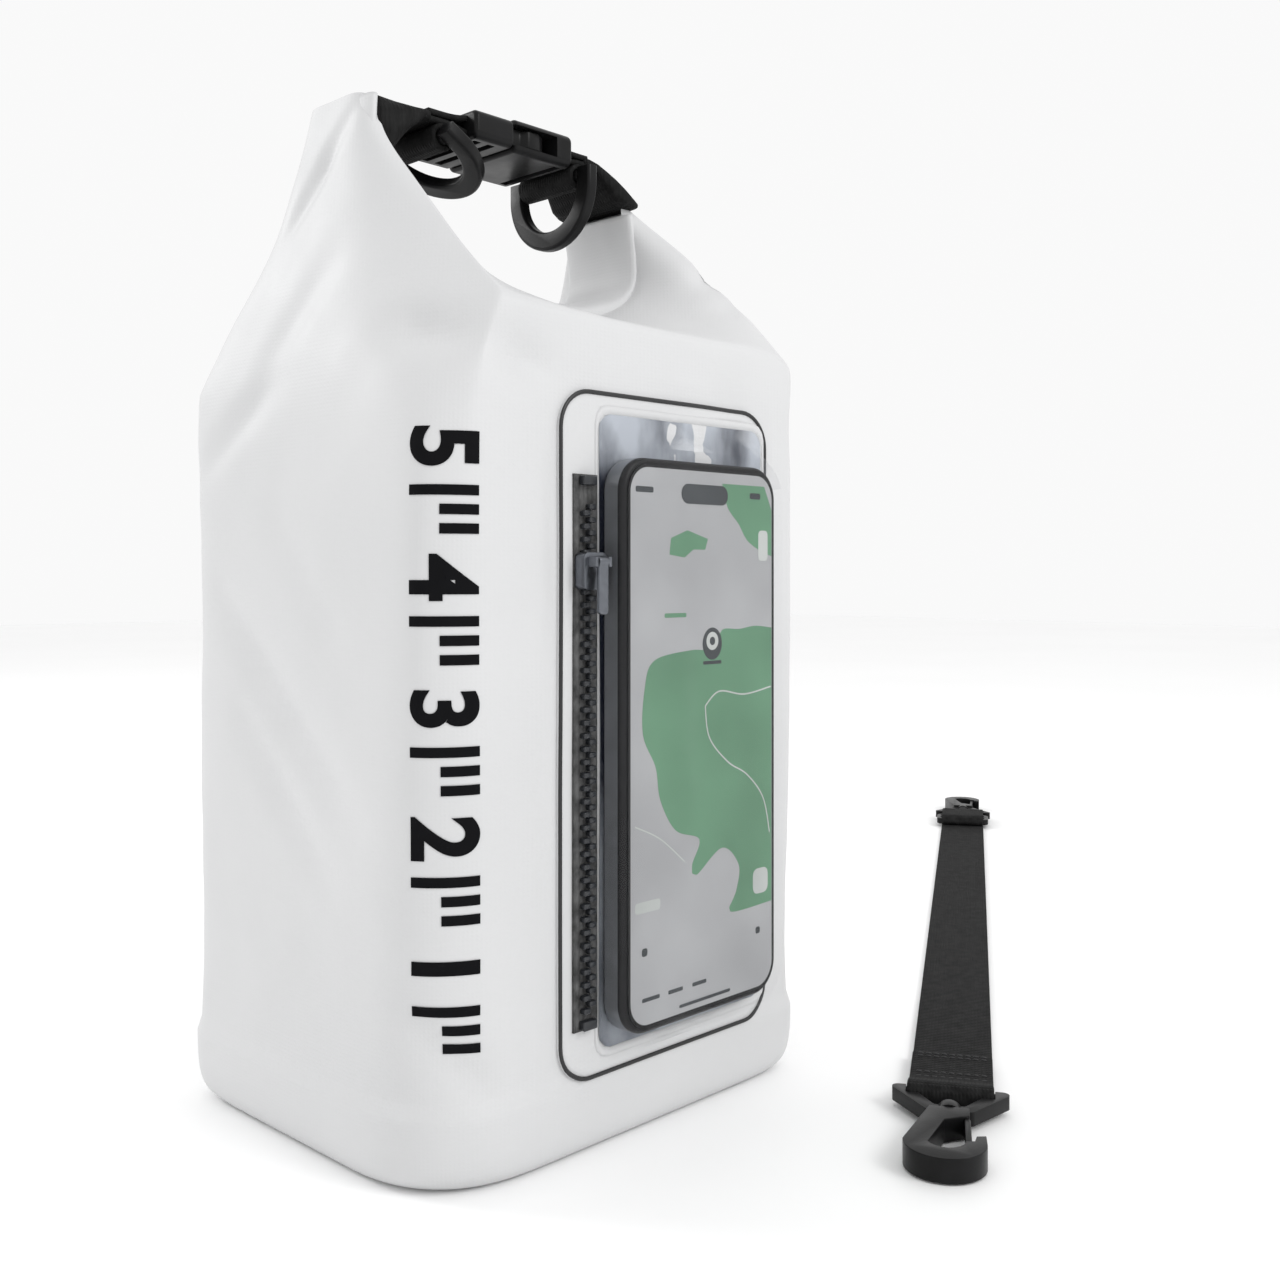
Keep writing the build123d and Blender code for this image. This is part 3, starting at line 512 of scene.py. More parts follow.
ROOF_ROW = (
    (-69.4, 0, 237), (-68.8, -17, 237), (-64.3, -31.5, 237.5), (-57.5, -43.5, 238), (-52, -50.6, 238.6),
    (-47.5, -50.5, 235), (-37, -53, 231.6), (-20, -53, 230.2), (0, -53, 229.6), (20, -53, 229.8),
    (42, -53.5, 230.6), (56, -52.8, 232.5), (63.5, -51.5, 234), (68.2, -49.2, 235.2), (69.5, -40, 234.8),
    (70, -20, 233.8), (70, 0, 233.3),
)
GABLE_ROW = (
    (-65.6, 0, 258), (-65.2, -13, 257.5), (-62.8, -22.5, 257), (-58.8, -30.5, 256.5), (-54.4, -35.4, 256),
    (-49.5, -33.5, 247.5), (-41, -33.5, 238.5), (-22, -34, 233), (0, -34, 232), (22, -34, 233),
    (41, -34.5, 237), (50, -34.6, 243.5), (55.5, -34.6, 250.5), (59.6, -34.2, 254.2), (62, -26, 254),
    (63.2, -13, 253), (63.2, 0, 252.5),
)
MOUTH_ROW = (
    (-62.6, 0, 284), (-62.5, -9, 284), (-61.8, -12.8, 283.5), (-59.6, -15, 281.5), (-56.6, -16, 277.5),
    (-52.6, -15.5, 262.5), (-43, -15.5, 247), (-24, -15.5, 238), (0, -15.5, 236.5), (24, -15.5, 238),
    (40, -15.8, 245), (45.4, -16.2, 255), (42, -16.5, 268), (46, -15.8, 273.6), (50, -11, 272.6),
    (51.8, -6, 271.8), (52.2, 0, 271.4),
)
TUCK_ROW = (
    (-61.8, 0, 290), (-61.6, -8.6, 290), (-60.6, -11.8, 289.8), (-58.8, -13.8, 289.4), (-56.6, -14.6, 288),
    (-53.5, -12, 265), (-44, -12, 248), (-24, -12, 239), (0, -12, 237.5), (24, -12, 239),
    (41, -12, 246.5), (46, -12, 256), (39, -12.8, 276), (41, -11.6, 278.6), (43.5, -8.5, 279.4),
    (44.6, -5, 279.8), (45, 0, 279.8),
)
# Back left of each upper row, from the side panel towards the middle of the back.
BACK_LEFT_ROWS = (
    ((-74.3, 30, 209), (-74.3, 49, 210), (-72.6, 55.6, 211), (-68.5, 59.4, 211), (-61, 60.8, 211),
     (-42, 60.9, 210), (-21, 60.9, 210)),
    ((-71.2, 24, 228), (-70.9, 40, 228), (-69.8, 45.6, 228), (-66, 49.8, 228.5), (-59, 53.4, 229),
     (-42, 58, 228.5), (-21, 60, 227.5)),
    ((-69.5, 20, 237), (-69.2, 33, 237), (-68, 38, 237), (-64.4, 41.8, 237), (-58, 45, 237),
     (-42, 50, 233), (-21, 53, 230.5)),
    ((-65.4, 12, 258), (-65, 18.5, 258), (-64, 22.6, 257.5), (-60.5, 26.4, 256), (-55, 28.5, 253),
     (-42, 31, 240), (-22, 34, 233)),
    ((-62.6, 8, 284), (-62.4, 12.4, 284), (-61.6, 14.4, 283), (-59.4, 15.6, 280), (-56.4, 15.8, 272),
     (-43, 15.5, 248), (-24, 15.5, 238)),
    ((-61.8, 8, 290), (-61.5, 11.6, 290), (-60.6, 13.2, 289.6), (-58.8, 13.9, 289), (-56.4, 13.6, 280),
     (-44, 12, 249), (-24, 12, 239)),
)


def body_quarter(height, half_width, half_depth, radius):
    """Stations of one quarter of a level, from the middle of the left side to the front."""
    flat_y = half_depth - radius
    flat_x = half_width - radius
    row = [(-half_width, 0, height), (-half_width, -flat_y * 0.6, height)]
    for angle in (3, 32, 60, 87):
        turn = math.radians(angle)
        x = -flat_x - radius * math.cos(turn)
        row.append((x, -flat_y - radius * math.sin(turn), height))
    for part in (0.68, 0.34, 0):
        row.append((-flat_x * part, -half_depth, height))
    return row


def body_row(height, half_width, half_depth, radii):
    """Stations of the front half of a level, with its own radius at each side."""
    near = body_quarter(height, half_width, half_depth, radii[0])
    far = body_quarter(height, half_width, half_depth, radii[1])
    return near + [(-x, y, z) for x, y, z in reversed(far[:-1])]


def body_back(height, half_width, half_depth, radius):
    """Stations of the back half of a level, from the right side round to the left."""
    quarter = body_quarter(height, half_width, half_depth, radius)
    right = [(-x, -y, z) for x, y, z in quarter]
    return right[1:] + [(x, -y, z) for x, y, z in reversed(quarter[1:-1])]


def near_corner_lean(row, amount):
    """Pulls the near left corner in towards the front panel, as the fold above it does."""
    moved = []
    for index, (x, y, z) in enumerate(row):
        pull = {3: 0.35, 4: 0.8, 5: 1.0, 6: 0.35}.get(index, 0) * amount
        moved.append((x + pull, y - pull * 0.08, z))
    return moved


def bag_rows():
    full = []
    for height, half_width, half_depth, near, far, back in BODY_ROWS:
        row = body_row(height, half_width, half_depth, (near, far))
        row = near_corner_lean(row, 6.5 * max(0.0, (height - 20) / 170))
        full.append(row + body_back(height, half_width, half_depth, back))
    upper = (SHOULDER_ROW, CREST_ROW, ROOF_ROW, GABLE_ROW, MOUTH_ROW, TUCK_ROW)
    for row, back_left in zip(upper, BACK_LEFT_ROWS):
        back_right = [(x, -y, z) for x, y, z in reversed(row[8:-1])]
        full.append(list(row) + back_right + list(reversed(back_left)))
    return full


def dent(points, normals, start, end, width, depth):
    """Presses a soft crease in along a line."""
    a = np.array(start) * MM
    b = np.array(end) * MM
    run = b - a
    part = np.clip(((points - a) @ run) / (run @ run), 0, 1)
    away = np.linalg.norm(points - (a + part[:, None] * run), axis=1)
    taper = np.sin(math.pi * np.clip(part * 0.9 + 0.05, 0, 1)) ** 0.5
    points -= normals * (depth * MM * taper * np.exp(-(away / (width * MM)) ** 2))[:, None]


BAG_DENTS = (
    # start, end, width, depth: soft folds of the side panel, horns and crest
    ((-74, 40, 150), (-72, -26, 92), 6, 3.2),
    ((-74, 30, 118), (-73, -16, 74), 5, 2.2),
    ((-74, 10, 172), (-73, -20, 140), 6, 1.6),
    ((-70, -46, 46), (-56, -60, 26), 5, 2.2),
    ((-70, -38, 223), (-40, -61, 212), 6, 5.2),
    ((-57, -50, 222), (-64, -46, 182), 5, 1.8),
    ((-57.5, -14, 290), (-64, 4, 270), 2.8, 1.9),
    ((-63, 0, 273), (-68, 18, 254), 3.2, 1.8),
    ((-74, 50, 188), (-74, 12, 212), 5, 2.0),
    ((-73, -10, 246), (-72, 20, 214), 6, 1.8),
    ((60, -34, 254), (50, -22, 236), 5, 3.4),
    ((62, -44, 244), (54, -34, 238), 4, 1.8),
    ((20, -60, 218), (44, -61, 204), 7, 0.9),
    ((74, -20, 150), (74, 40, 110), 7, 2.6),
    ((74, 30, 70), (74, -30, 50), 6, 1.8),
    ((60, 60, 200), (20, 61, 160), 7, 2.4),
    ((-60, 60, 190), (-20, 61, 150), 7, 2.4),
    ((-40, 61, 60), (30, 61, 40), 7, 1.8),
)


def make_bag():
    rows = bag_rows()
    columns = len(rows[0])
    points = [Vector(p) * MM for row in rows for p in row]
    faces = grid_faces(len(rows), columns, closed=True)
    faces.append(tuple(range(columns))[::-1])
    bag = mesh_object("bag_fabric", points, faces, WHITE)
    crest = len(BODY_ROWS) + 1
    top = len(rows) - 1
    across_creases = (
        # row, first column, last column, strength
        (0, 0, columns, 0.6), (3, 0, columns, 0.75), (4, 0, columns, 0.75), (crest, 3, 6, 0.9),
        (crest, 6, 14, 0.45), (crest, 18, 28, 0.45), (crest - 1, 26, 30, 0.55), (top, 29, 37, 0.95),
        (top, 12, 20, 0.9),
    )
    upright_creases = (
        # column, first row, last row, strength
        (4, crest, top, 0.85), (4, crest - 1, crest, 0.7), (4, crest - 2, crest - 1, 0.35),
        (13, crest - 1, top, 0.8), (19, crest - 1, top, 0.7), (29, crest - 2, top, 0.85),
    )
    with editing(bag.data) as model:
        crease = model.edges.layers.float.new("crease_edge")
        model.verts.ensure_lookup_table()

        def set_crease(start, end, value):
            first, second = (model.verts[row * columns + column % columns] for row, column in (start, end))
            edge = model.edges.get((first, second))
            if edge:
                edge[crease] = value

        for row, low, high, value in across_creases:
            for column in range(low, high):
                set_crease((row, column), (row, column + 1), value)
        for column, low, high, value in upright_creases:
            for row in range(low, high):
                set_crease((row, column), (row + 1, column), value)
    fix_normals(bag)
    subdivided(bag, 3)
    mesh = bag.data
    count = len(mesh.vertices)
    points = np.zeros((count, 3))
    normals = np.zeros((count, 3))
    mesh.vertices.foreach_get("co", points.ravel())
    mesh.vertices.foreach_get("normal", normals.ravel())
    for start, end, width, depth in BAG_DENTS:
        dent(points, normals, start, end, width, depth)
    for index in range(count):
        x, y, z = points[index]
        free = min(1.0, max(0.0, (z - 0.012) / 0.03))
        flat = 0.25 if y < -0.058 and -0.036 < x < 0.056 and z < 0.21 else 1.0
        sway = noise.noise(Vector((x * 22, y * 22, z * 15)))
        ripple = noise.noise(Vector((x * 70 + 5, y * 70, z * 55)))
        points[index] += normals[index] * free * flat * (sway * 0.0011 + ripple * 0.0003)
    points[:, 2] = np.maximum(points[:, 2], 0.0003)
    mesh.vertices.foreach_set("co", points.ravel())
    mesh.update()
    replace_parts(bag, "bag_body", "bag_base")
    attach(bag, "bag")
    return bag


ROLL_PATH = ((-58.6, 289), (-58.6, 278), (-55, 264), (-47.5, 250.5), (-34, 241.5), (-15, 237.5), (5, 237),
             (22, 238.5), (36, 243), (43, 252), (43.6, 262), (41.5, 275))
ROLL_HALF_WIDTH = 15.2
ROLL_LAYERS = ((0, 1.0), (2.2, 0.93), (4.4, 0.82))
ROLL_SIDES = 22


def make_roll():
    """The mouth wrapped on itself: nested flattened turns swept along the bent top."""
    path = smooth_line(ROLL_PATH, 2.0)
    points = []
    faces = []
    size = (len(path), ROLL_SIDES)
    for turn, (inset, scale) in enumerate(ROLL_LAYERS):
        start = len(points)
        for index, (x, z) in enumerate(path):
            run = run_at(path, index)
            end = min(1.0, max(0.0, (z - 241) / 9))
            for k in range(ROLL_SIDES):
                swirl = 1 - 0.05 * (k / ROLL_SIDES)
                across, height = swung(2 * math.pi * k / ROLL_SIDES, (0.6, 0.75))
                across *= (ROLL_HALF_WIDTH + 0.9 * end) * scale * swirl
                height *= (5.6 - inset) * (1 - 0.62 * end) * swirl
                height += 0.5 * noise.noise(Vector((x * 0.08, across * 0.15, turn)))
                points.append(Vector((x - run[1] * height, across, z + run[0] * height)) * MM)
        closed = grid_faces(*size, closed=True) + end_faces(*size)
        faces += [tuple(start + v for v in f) for f in closed]
    roll = fix_normals(mesh_object("rolled_mouth", points, faces, WHITE))
    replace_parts(roll, "roll_collar")
    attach(roll, "bag")
    return roll


def surface_tree(obj):
    model = bmesh.new()
    model.from_mesh(obj.data)
    tree = BVHTree.FromBMesh(model)
    model.free()
    return tree


def drop(tree, point, direction, lift):
    """The point on the bag's surface that a straight line reaches, lifted off it."""
    hit, normal, _, _ = tree.ray_cast(Vector(point), Vector(direction))
    if normal.dot(Vector(direction)) > 0:
        normal = -normal
    return hit + normal * lift


# ---------------------------------------------------------------- welds on the bag
SEAM_SECTION = ((-10, 0.05), (-9.6, 0.75), (-5, 0.85), (0, 0.85), (5, 0.85), (9.6, 0.75), (10, 0.05))
SEAM_HEIGHTS = np.linspace(27, 203, 90)


def make_back_seam(tree):
    """Overlapped weld that closes the tube, down the middle of the back."""
    points = []
    for z in SEAM_HEIGHTS:
        for x, lift in SEAM_SECTION:
            points.append(drop(tree, (x * MM, 0.12, z * MM), (0, -1, 0), lift * MM))
    seam = mesh_object("back_weld", points, grid_faces(len(SEAM_HEIGHTS), len(SEAM_SECTION)), WELD)
    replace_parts(fix_normals(seam), "back_seam_strip")
    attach(seam, "bag")


# ---------------------------------------------------------------- printed fill scale
SIGHT = Vector((0.721, 0.693, 0)).normalized()
ACROSS = Vector((0.693, -0.721, 0)).normalized()
PRINT_TOP = 196.0
PRINT_BOTTOM = 33.0
PRINT_LEFT = -14.2
PRINT_RIGHT = 2.7
INK_LIFT = 0.22
SCALE_STEPS = 5
BAR_HEIGHT = 2.6


def numeral_mesh(text, height):
    """Flat mesh of one bold numeral about its own centre, with its height in mm."""
    curve = bpy.data.curves.new("numeral", "FONT")
    curve.body = text
    curve.offset = 0.03
    obj = linked(bpy.data.objects.new("numeral", curve))
    graph = bpy.context.evaluated_depsgraph_get()
    graph.update()
    mesh = bpy.data.meshes.new_from_object(obj.evaluated_get(graph))
    bpy.data.objects.remove(obj)
    co = np.array([v.co[:] for v in mesh.vertices])
    low = co.min(0)
    high = co.max(0)
    scale = height / (high[1] - low[1])
    centred = (co - (low + high) / 2) * scale
    return centred, [tuple(p.vertices) for p in mesh.polygons]


def cut_through(model, point, normal):
    """Cuts every face that a plane meets."""
    geometry = model.verts[:] + model.edges[:] + model.faces[:]
    bmesh.ops.bisect_plane(model, geom=geometry, plane_co=point, plane_no=normal)


def make_print(tree):
    """Plain fill scale: bold numerals turned to read downwards, with bars between them."""
    model = bmesh.new()
    width = PRINT_RIGHT - PRINT_LEFT
    middle = (PRINT_LEFT + PRINT_RIGHT) / 2
    step = (PRINT_TOP - PRINT_BOTTOM) / SCALE_STEPS
    for index in range(SCALE_STEPS):
        top = PRINT_TOP - index * step
        shapes, polygons = numeral_mesh(str(SCALE_STEPS - index), width)
        verts = [model.verts.new((middle + y, top - 7.0 - x, 0)) for x, y, _ in shapes]
        for polygon in polygons:
            model.faces.new([verts[v] for v in polygon])
        for row, length in ((16.6, 1.0), (21.4, 0.55), (26.2, 0.55)):
            left = PRINT_RIGHT - width * length
            high = top - row
            low = high - BAR_HEIGHT
            corners = ((left, low), (PRINT_RIGHT, low), (PRINT_RIGHT, high), (left, high))
            model.faces.new([model.verts.new((x, z, 0)) for x, z in corners])
    for cut in np.arange(PRINT_LEFT + 0.7, PRINT_RIGHT, 0.7):
        cut_through(model, (cut, 0, 0), (1, 0, 0))
    for cut in np.arange(PRINT_BOTTOM, PRINT_TOP, 2.0):
        cut_through(model, (0, cut, 0), (0, 1, 0))
    bmesh.ops.triangulate(model, faces=model.faces)
    for vert in model.verts:
        across, up = vert.co.x, vert.co.y
        start = ACROSS * across * MM - SIGHT * 0.25 + Vector((0, 0, up * MM))
        vert.co = drop(tree, start, SIGHT, INK_LIFT * MM)
    mesh = bpy.data.meshes.new("fill_scale_print")
    model.to_mesh(mesh)
    model.free()
    ink = linked(bpy.data.objects.new("fill_scale_print", mesh))
    mesh.materials.append(dull(plain_detail("ink", (0.005, 0.005, 0.006), 0.75, 300.0), 0.08))
    shade_smooth(mesh)
    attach(ink, "bag")


# ---------------------------------------------------------------- window pocket
PATCH_CENTRE = (10.5, 114.0)
PATCH_SIZE = (87.0, 186.0)
PATCH_RADIUS = 11.0
PATCH_RINGS = ((0.0, 0.05), (0.15, 0.75), (2.6, 0.8), (4.2, 0.55), (6.0, 0.8), (16.0, 0.8), (30.0, 0.8))
PIPING_INSET = 0.6
PIPING_RADIUS = 0.62
PIPING_SIDES = 8
PHONE_CORNER = 9.5
FILM_CORNER = 4
FILM_RIM = ((-1.6, 0.05), (-1.4, 0.55), (0, 0.7), (0.9, 0.6), (1.2, 0.05))


def front_of(node_name):
    """World y of the outermost face of a CAD node on the window side, in mm."""
    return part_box(node_name)[0].y / MM


def rounded_distance(x, z, centre, size, radius):
    """Distance outside a rounded rectangle, negative inside."""
    dx = abs(x - centre[0]) - size[0] / 2 + radius
    dz = abs(z - centre[1]) - size[1] / 2 + radius
    outside = math.hypot(max(dx, 0), max(dz, 0))
    return outside + min(max(dx, dz), 0) - radius


def on_front(tree, x, z, lift):
    """The point on the bag's front at a place in mm from the pocket's centre."""
    start = (PATCH_CENTRE[0] + x, 0, PATCH_CENTRE[1] + z)
    return drop(tree, Vector(start) * MM - Vector((0, 0.12, 0)), (0, 1, 0), lift * MM)


def make_patch(tree):
    """White pocket panel welded to the front, with a pressed rim."""
    outline = rounded_outline(*PATCH_SIZE, PATCH_RADIUS, 2.5)
    points = []
    for inset, lift in PATCH_RINGS:
        scale_x = 1 - 2 * inset / PATCH_SIZE[0]
        scale_z = 1 - 2 * inset / PATCH_SIZE[1]
        points += [on_front(tree, x * scale_x, z * scale_z, lift) for x, z in outline]
    faces = grid_faces(len(PATCH_RINGS), len(outline), closed=True)
    patch = fix_normals(mesh_object("pocket_panel", points, faces, WHITE))
    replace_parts(patch, "pocket_patch")
    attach(patch, "bag")


def make_piping(tree):
    """Thin black bead round the pocket panel."""
    width, height = (size - 2 * PIPING_INSET for size in PATCH_SIZE)
    outline = rounded_outline(width, height, PATCH_RADIUS - PIPING_INSET, 1.5)
    count = len(outline)
    points = []
    for index, (x, z) in enumerate(outline):
        before = outline[index - 1]
        after = outline[(index + 1) % count]
        run = Vector((after[0] - before[0], 0, after[1] - before[1])).normalized()
        forward = Vector((0, -1, 0))
        out = run.cross(forward)
        centre = on_front(tree, x, z, 0.85)
        for k in range(PIPING_SIDES):
            angle = 2 * math.pi * k / PIPING_SIDES
            offset = (out * math.cos(angle) + forward * math.sin(angle) * 0.7) * PIPING_RADIUS
            points.append(centre + offset * MM)
    ring = count * PIPING_SIDES
    faces = [tuple(v % ring for v in face) for face in grid_faces(count + 1, PIPING_SIDES, closed=True)]
    material = plain_detail("piping", (0.012, 0.012, 0.013), 0.4)
    piping = fix_normals(mesh_object("pocket_outline", points, faces, material))
    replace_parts(piping, "pocket_piping")
    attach(piping, "bag")


def panel_grid(name, low, high, centre, size, radius, depth_at, material, step=1.0):
    """Rounded rectangular sheet on the front, whose depth in mm comes from a function."""
    columns = int((high[0] - low[0]) / step) + 1
    rows = int((high[1] - low[1]) / step) + 1
    points = []
    for row in range(rows):
        z = low[1] + (high[1] - low[1]) * row / (rows - 1)
        for column in range(columns):
            x = low[0] + (high[0] - low[0]) * column / (columns - 1)
            away = max(0, rounded_distance(x, z, centre, size, radius))
            pull = Vector((centre[0] - x, 0, centre[1] - z)).normalized() * away * 1.2
            points.append(Vector((x + pull.x, depth_at(x, z), z + pull.z)) * MM)
    return fix_normals(mesh_object(name, points, grid_faces(rows, columns), material))


def make_window():
    """Silvery backing, and clear film draped over the phone and welded round its edge."""
    low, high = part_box("window_film")
    low = (low.x / MM, low.z / MM)
    high = (high.x / MM, high.z / MM)
    centre = ((low[0] + high[0]) / 2, (low[1] + high[1]) / 2)
    size = (high[0] - low[0], high[1] - low[1])
    patch_face = front_of("pocket_patch")
    phone_low, phone_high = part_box("phone_body")
    phone_centre = ((phone_low.x + phone_high.x) / 2 / MM, (phone_low.z + phone_high.z) / 2 / MM)
    phone_size = ((phone_high.x - phone_low.x) / MM, (phone_high.z - phone_low.z) / MM)
    top = front_of("window_film")

    def backing_depth(x, z):
        return patch_face - 0.45 - 0.25 * noise.noise(Vector((x * 0.15, z * 0.15, 2)))

    inner = (size[0] - 1, size[1] - 1)
    backing = panel_grid("pocket_foil", low, high, centre, inner, FILM_CORNER, backing_depth, FOIL, 2.0)
    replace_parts(backing, "pocket_backing")
    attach(backing, "bag")

    def film_depth(x, z):
        away = rounded_distance(x, z, phone_centre, phone_size, PHONE_CORNER)
        edge = -rounded_distance(x, z, centre, size, FILM_CORNER)
        drape = 1 - min(1, max(0, (away - 0.6) / 9.5))
        drape = drape * drape * (3 - 2 * drape)
        wave = 0.35 * noise.noise(Vector((x * 0.12, z * 0.06, 9)))
        crinkle = 1.1 * abs(noise.noise(Vector((x * 0.13, z * 0.11, 4)))) * (1 - drape)
        rise = min(1, max(0, edge / 0.8))
        height = (0.9 + (patch_face - top - 1.3) * drape + wave * 0.8 + crinkle) * rise
        return patch_face - 0.3 - max(0, height)

    film = panel_grid("window_sheet", low, high, centre, size, FILM_CORNER, film_depth, FILM, 0.8)
    # the film away from the phone takes the second finish, with painted white glare streaks
    film.data.materials.append(FILM_PAINTED_GLARE)
    for polygon in film.data.polygons:
        x, z = polygon.center.x / MM, polygon.center.z / MM
        loose = rounded_distance(x, z, phone_centre, phone_size, PHONE_CORNER) > 3.0
        polygon.material_index = 1 if loose else 0
    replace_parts(film, "window_film")
    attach(film, "bag")

    outline = rounded_outline(size[0] + 1.6, size[1] + 1.6, 4.8, 2.0)
    points = []
    for out, lift in FILM_RIM:
        for x, z in outline:
            scale = 1 + out / math.hypot(x, z)
            points.append(Vector((centre[0] + x * scale, patch_face - lift, centre[1] + z * scale)) * MM)
    faces = grid_faces(len(FILM_RIM), len(outline), closed=True)
    rim = fix_normals(mesh_object("window_weld", points, faces, WELD))
    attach(rim, "bag")


def flat_shape(name, outline, depth, material):
    """Thin flat shape on the phone's screen, from an outline of (x, z) points in mm."""
    points = [Vector((x, depth, z)) * MM for x, z in outline]
    shape = mesh_object(name, points, [tuple(range(len(points)))], material, smooth=False)
    with editing(shape.data) as model:
        bmesh.ops.triangulate(model, faces=model.faces, ngon_method="BEAUTY")
    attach(shape, "bag")


def line_shape(name, path, width, depth, material):
    """Thin road line on the map."""
    line = smooth_line(path, 1.0)
    points = []
    for index, (x, z) in enumerate(line):
        run = run_at(line, index)
        for reach in (-width / 2, width / 2):
            points.append(Vector((x - run[1] * reach, depth, z + run[0] * reach)) * MM)
    shape = mesh_object(name, points, grid_faces(len(line), 2), material, smooth=False)
    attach(shape, "bag")


def circle(centre, radius, sides=32, squash=1.0):
    return [
        (centre[0] + radius * math.cos(2 * math.pi * k / sides),
         centre[1] + squash * radius * math.sin(2 * math.pi * k / sides))
        for k in range(sides)
    ]


def shifted(outline, place):
    return [(x + place[0], z + place[1]) for x, z in outline]


def screen_map():
    """Plain invented map: park areas, paths, a round marker and bare interface blocks."""
    low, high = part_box("phone_display")
    face = low.y / MM
    left, bottom = low.x / MM, low.z / MM
    width, height = (high.x - low.x) / MM, (high.z - low.z) / MM

    def at(u, v):
        return (left + u * width, bottom + v * height)

    glass = dull(plain_detail("screen_grey", (0.36, 0.365, 0.375), 0.4, 30.0), 0.12)
    green = dull(plain_detail("screen_green", (0.125, 0.25, 0.16), 0.4, 40.0), 0.12)
    pale = dull(plain_detail("screen_pale", (0.45, 0.47, 0.46), 0.4, 40.0), 0.12)
    dark = dull(plain_detail("screen_dark", (0.06, 0.065, 0.07), 0.4, 40.0), 0.12)
    black = dull(plain_detail("screen_bezel", (0.006, 0.006, 0.007), 0.3, 60.0), 0.3)
    refinish("phone_display", black)
    lit = shifted(rounded_outline(width - 1.6, height - 1.6, 7.0, 0.8), at(0.5, 0.5))
    flat_shape("screen_area", lit, face - 0.02, glass)

    park = smooth_line([at(*p) for p in (
        (0.985, 0.70), (0.86, 0.705), (0.74, 0.70), (0.62, 0.70), (0.56, 0.665), (0.40, 0.665),
        (0.16, 0.65), (0.10, 0.60), (0.09, 0.52), (0.17, 0.46), (0.20, 0.40), (0.30, 0.34),
        (0.46, 0.315), (0.41, 0.27), (0.44, 0.25), (0.62, 0.29), (0.74, 0.25), (0.72, 0.20),
        (0.68, 0.165), (0.985, 0.165))], 1.5)
    flat_shape("map_park", park, face - 0.05, green)
    corner = smooth_line([at(*p) for p in (
        (0.62, 0.975), (0.66, 0.93), (0.74, 0.90), (0.80, 0.87), (0.90, 0.85), (0.985, 0.84))], 1.5)
    corner += [at(0.985, 0.93), at(0.93, 0.975)]
    flat_shape("map_corner", corner, face - 0.05, green)
    flat_shape("map_grove", [at(*p) for p in (
        (0.27, 0.87), (0.38, 0.885), (0.52, 0.87), (0.50, 0.85), (0.42, 0.85), (0.36, 0.835), (0.26, 0.84)
    )], face - 0.05, green)
    for name, path, wide, depth in (
        ("map_path_1", ((0.50, 0.56), (0.60, 0.585), (0.78, 0.575), (0.98, 0.585)), 0.45, face - 0.08),
        ("map_path_2", ((0.50, 0.56), (0.53, 0.50), (0.66, 0.45), (0.80, 0.42), (0.92, 0.37), (0.97, 0.30)),
         0.45, face - 0.08),
        ("map_path_3", ((0.04, 0.36), (0.20, 0.33), (0.36, 0.28)), 0.35, face - 0.07),
    ):
        line_shape(name, [at(*p) for p in path], wide, depth, pale)
    flat_shape("map_marker", circle(at(0.55, 0.675), 4.2, 40, 1.1), face - 0.08, dark)
    flat_shape("map_marker_ring", circle(at(0.55, 0.68), 2.6), face - 0.1, pale)
    flat_shape("map_marker_dot", circle(at(0.55, 0.68), 1.2), face - 0.12, dark)
    pill = shifted(rounded_outline(20, 5.6, 2.75, 0.6), at(0.5, 0.952))
    flat_shape("screen_cutout", pill, face - 0.1, dark)
    bar = shifted(rounded_outline(22, 0.9, 0.42, 0.3), at(0.5, 0.018))
    flat_shape("screen_bar", bar, face - 0.1, dark)
    blocks = ((0.10, 0.955, 7.0, 1.6, dark), (0.86, 0.955, 5.0, 1.8, dark), (0.92, 0.86, 4.4, 9.0, pale),
              (0.90, 0.21, 7.0, 7.5, pale), (0.12, 0.215, 10.0, 3.0, pale), (0.10, 0.135, 2.2, 2.2, dark),
              (0.55, 0.64, 8.0, 1.0, dark), (0.30, 0.73, 9.0, 1.2, green), (0.14, 0.05, 7.0, 1.1, dark),
              (0.30, 0.05, 6.0, 1.1, dark), (0.46, 0.05, 6.0, 1.1, dark), (0.88, 0.115, 2.0, 2.0, dark))
    for index, (u, v, wide, tall, finish) in enumerate(blocks):
        block = shifted(rounded_outline(wide, tall, min(wide, tall) * 0.3, 0.5), at(u, v))
        flat_shape(f"screen_block_{index}", block, face - 0.07, finish)


def make_zip():
    """Coated tape, moulded teeth, slider and pull."""
    refinish("zip_tape", webbing_material("zip_tape_weave", 0, 0.06))
    teeth = plain_detail("zip_black", (0.02, 0.022, 0.026), 0.3)
    moulded("zip_teeth", teeth, 0.35)
    moulded("zip_stops", teeth, 0.4)
    metal = plain_detail("zip_metal", (0.16, 0.17, 0.19), 0.3, 300.0, Metallic=0.85)
    moulded("zip_slider", metal, 0.4)
    moulded("zip_pull", metal, 0.25)


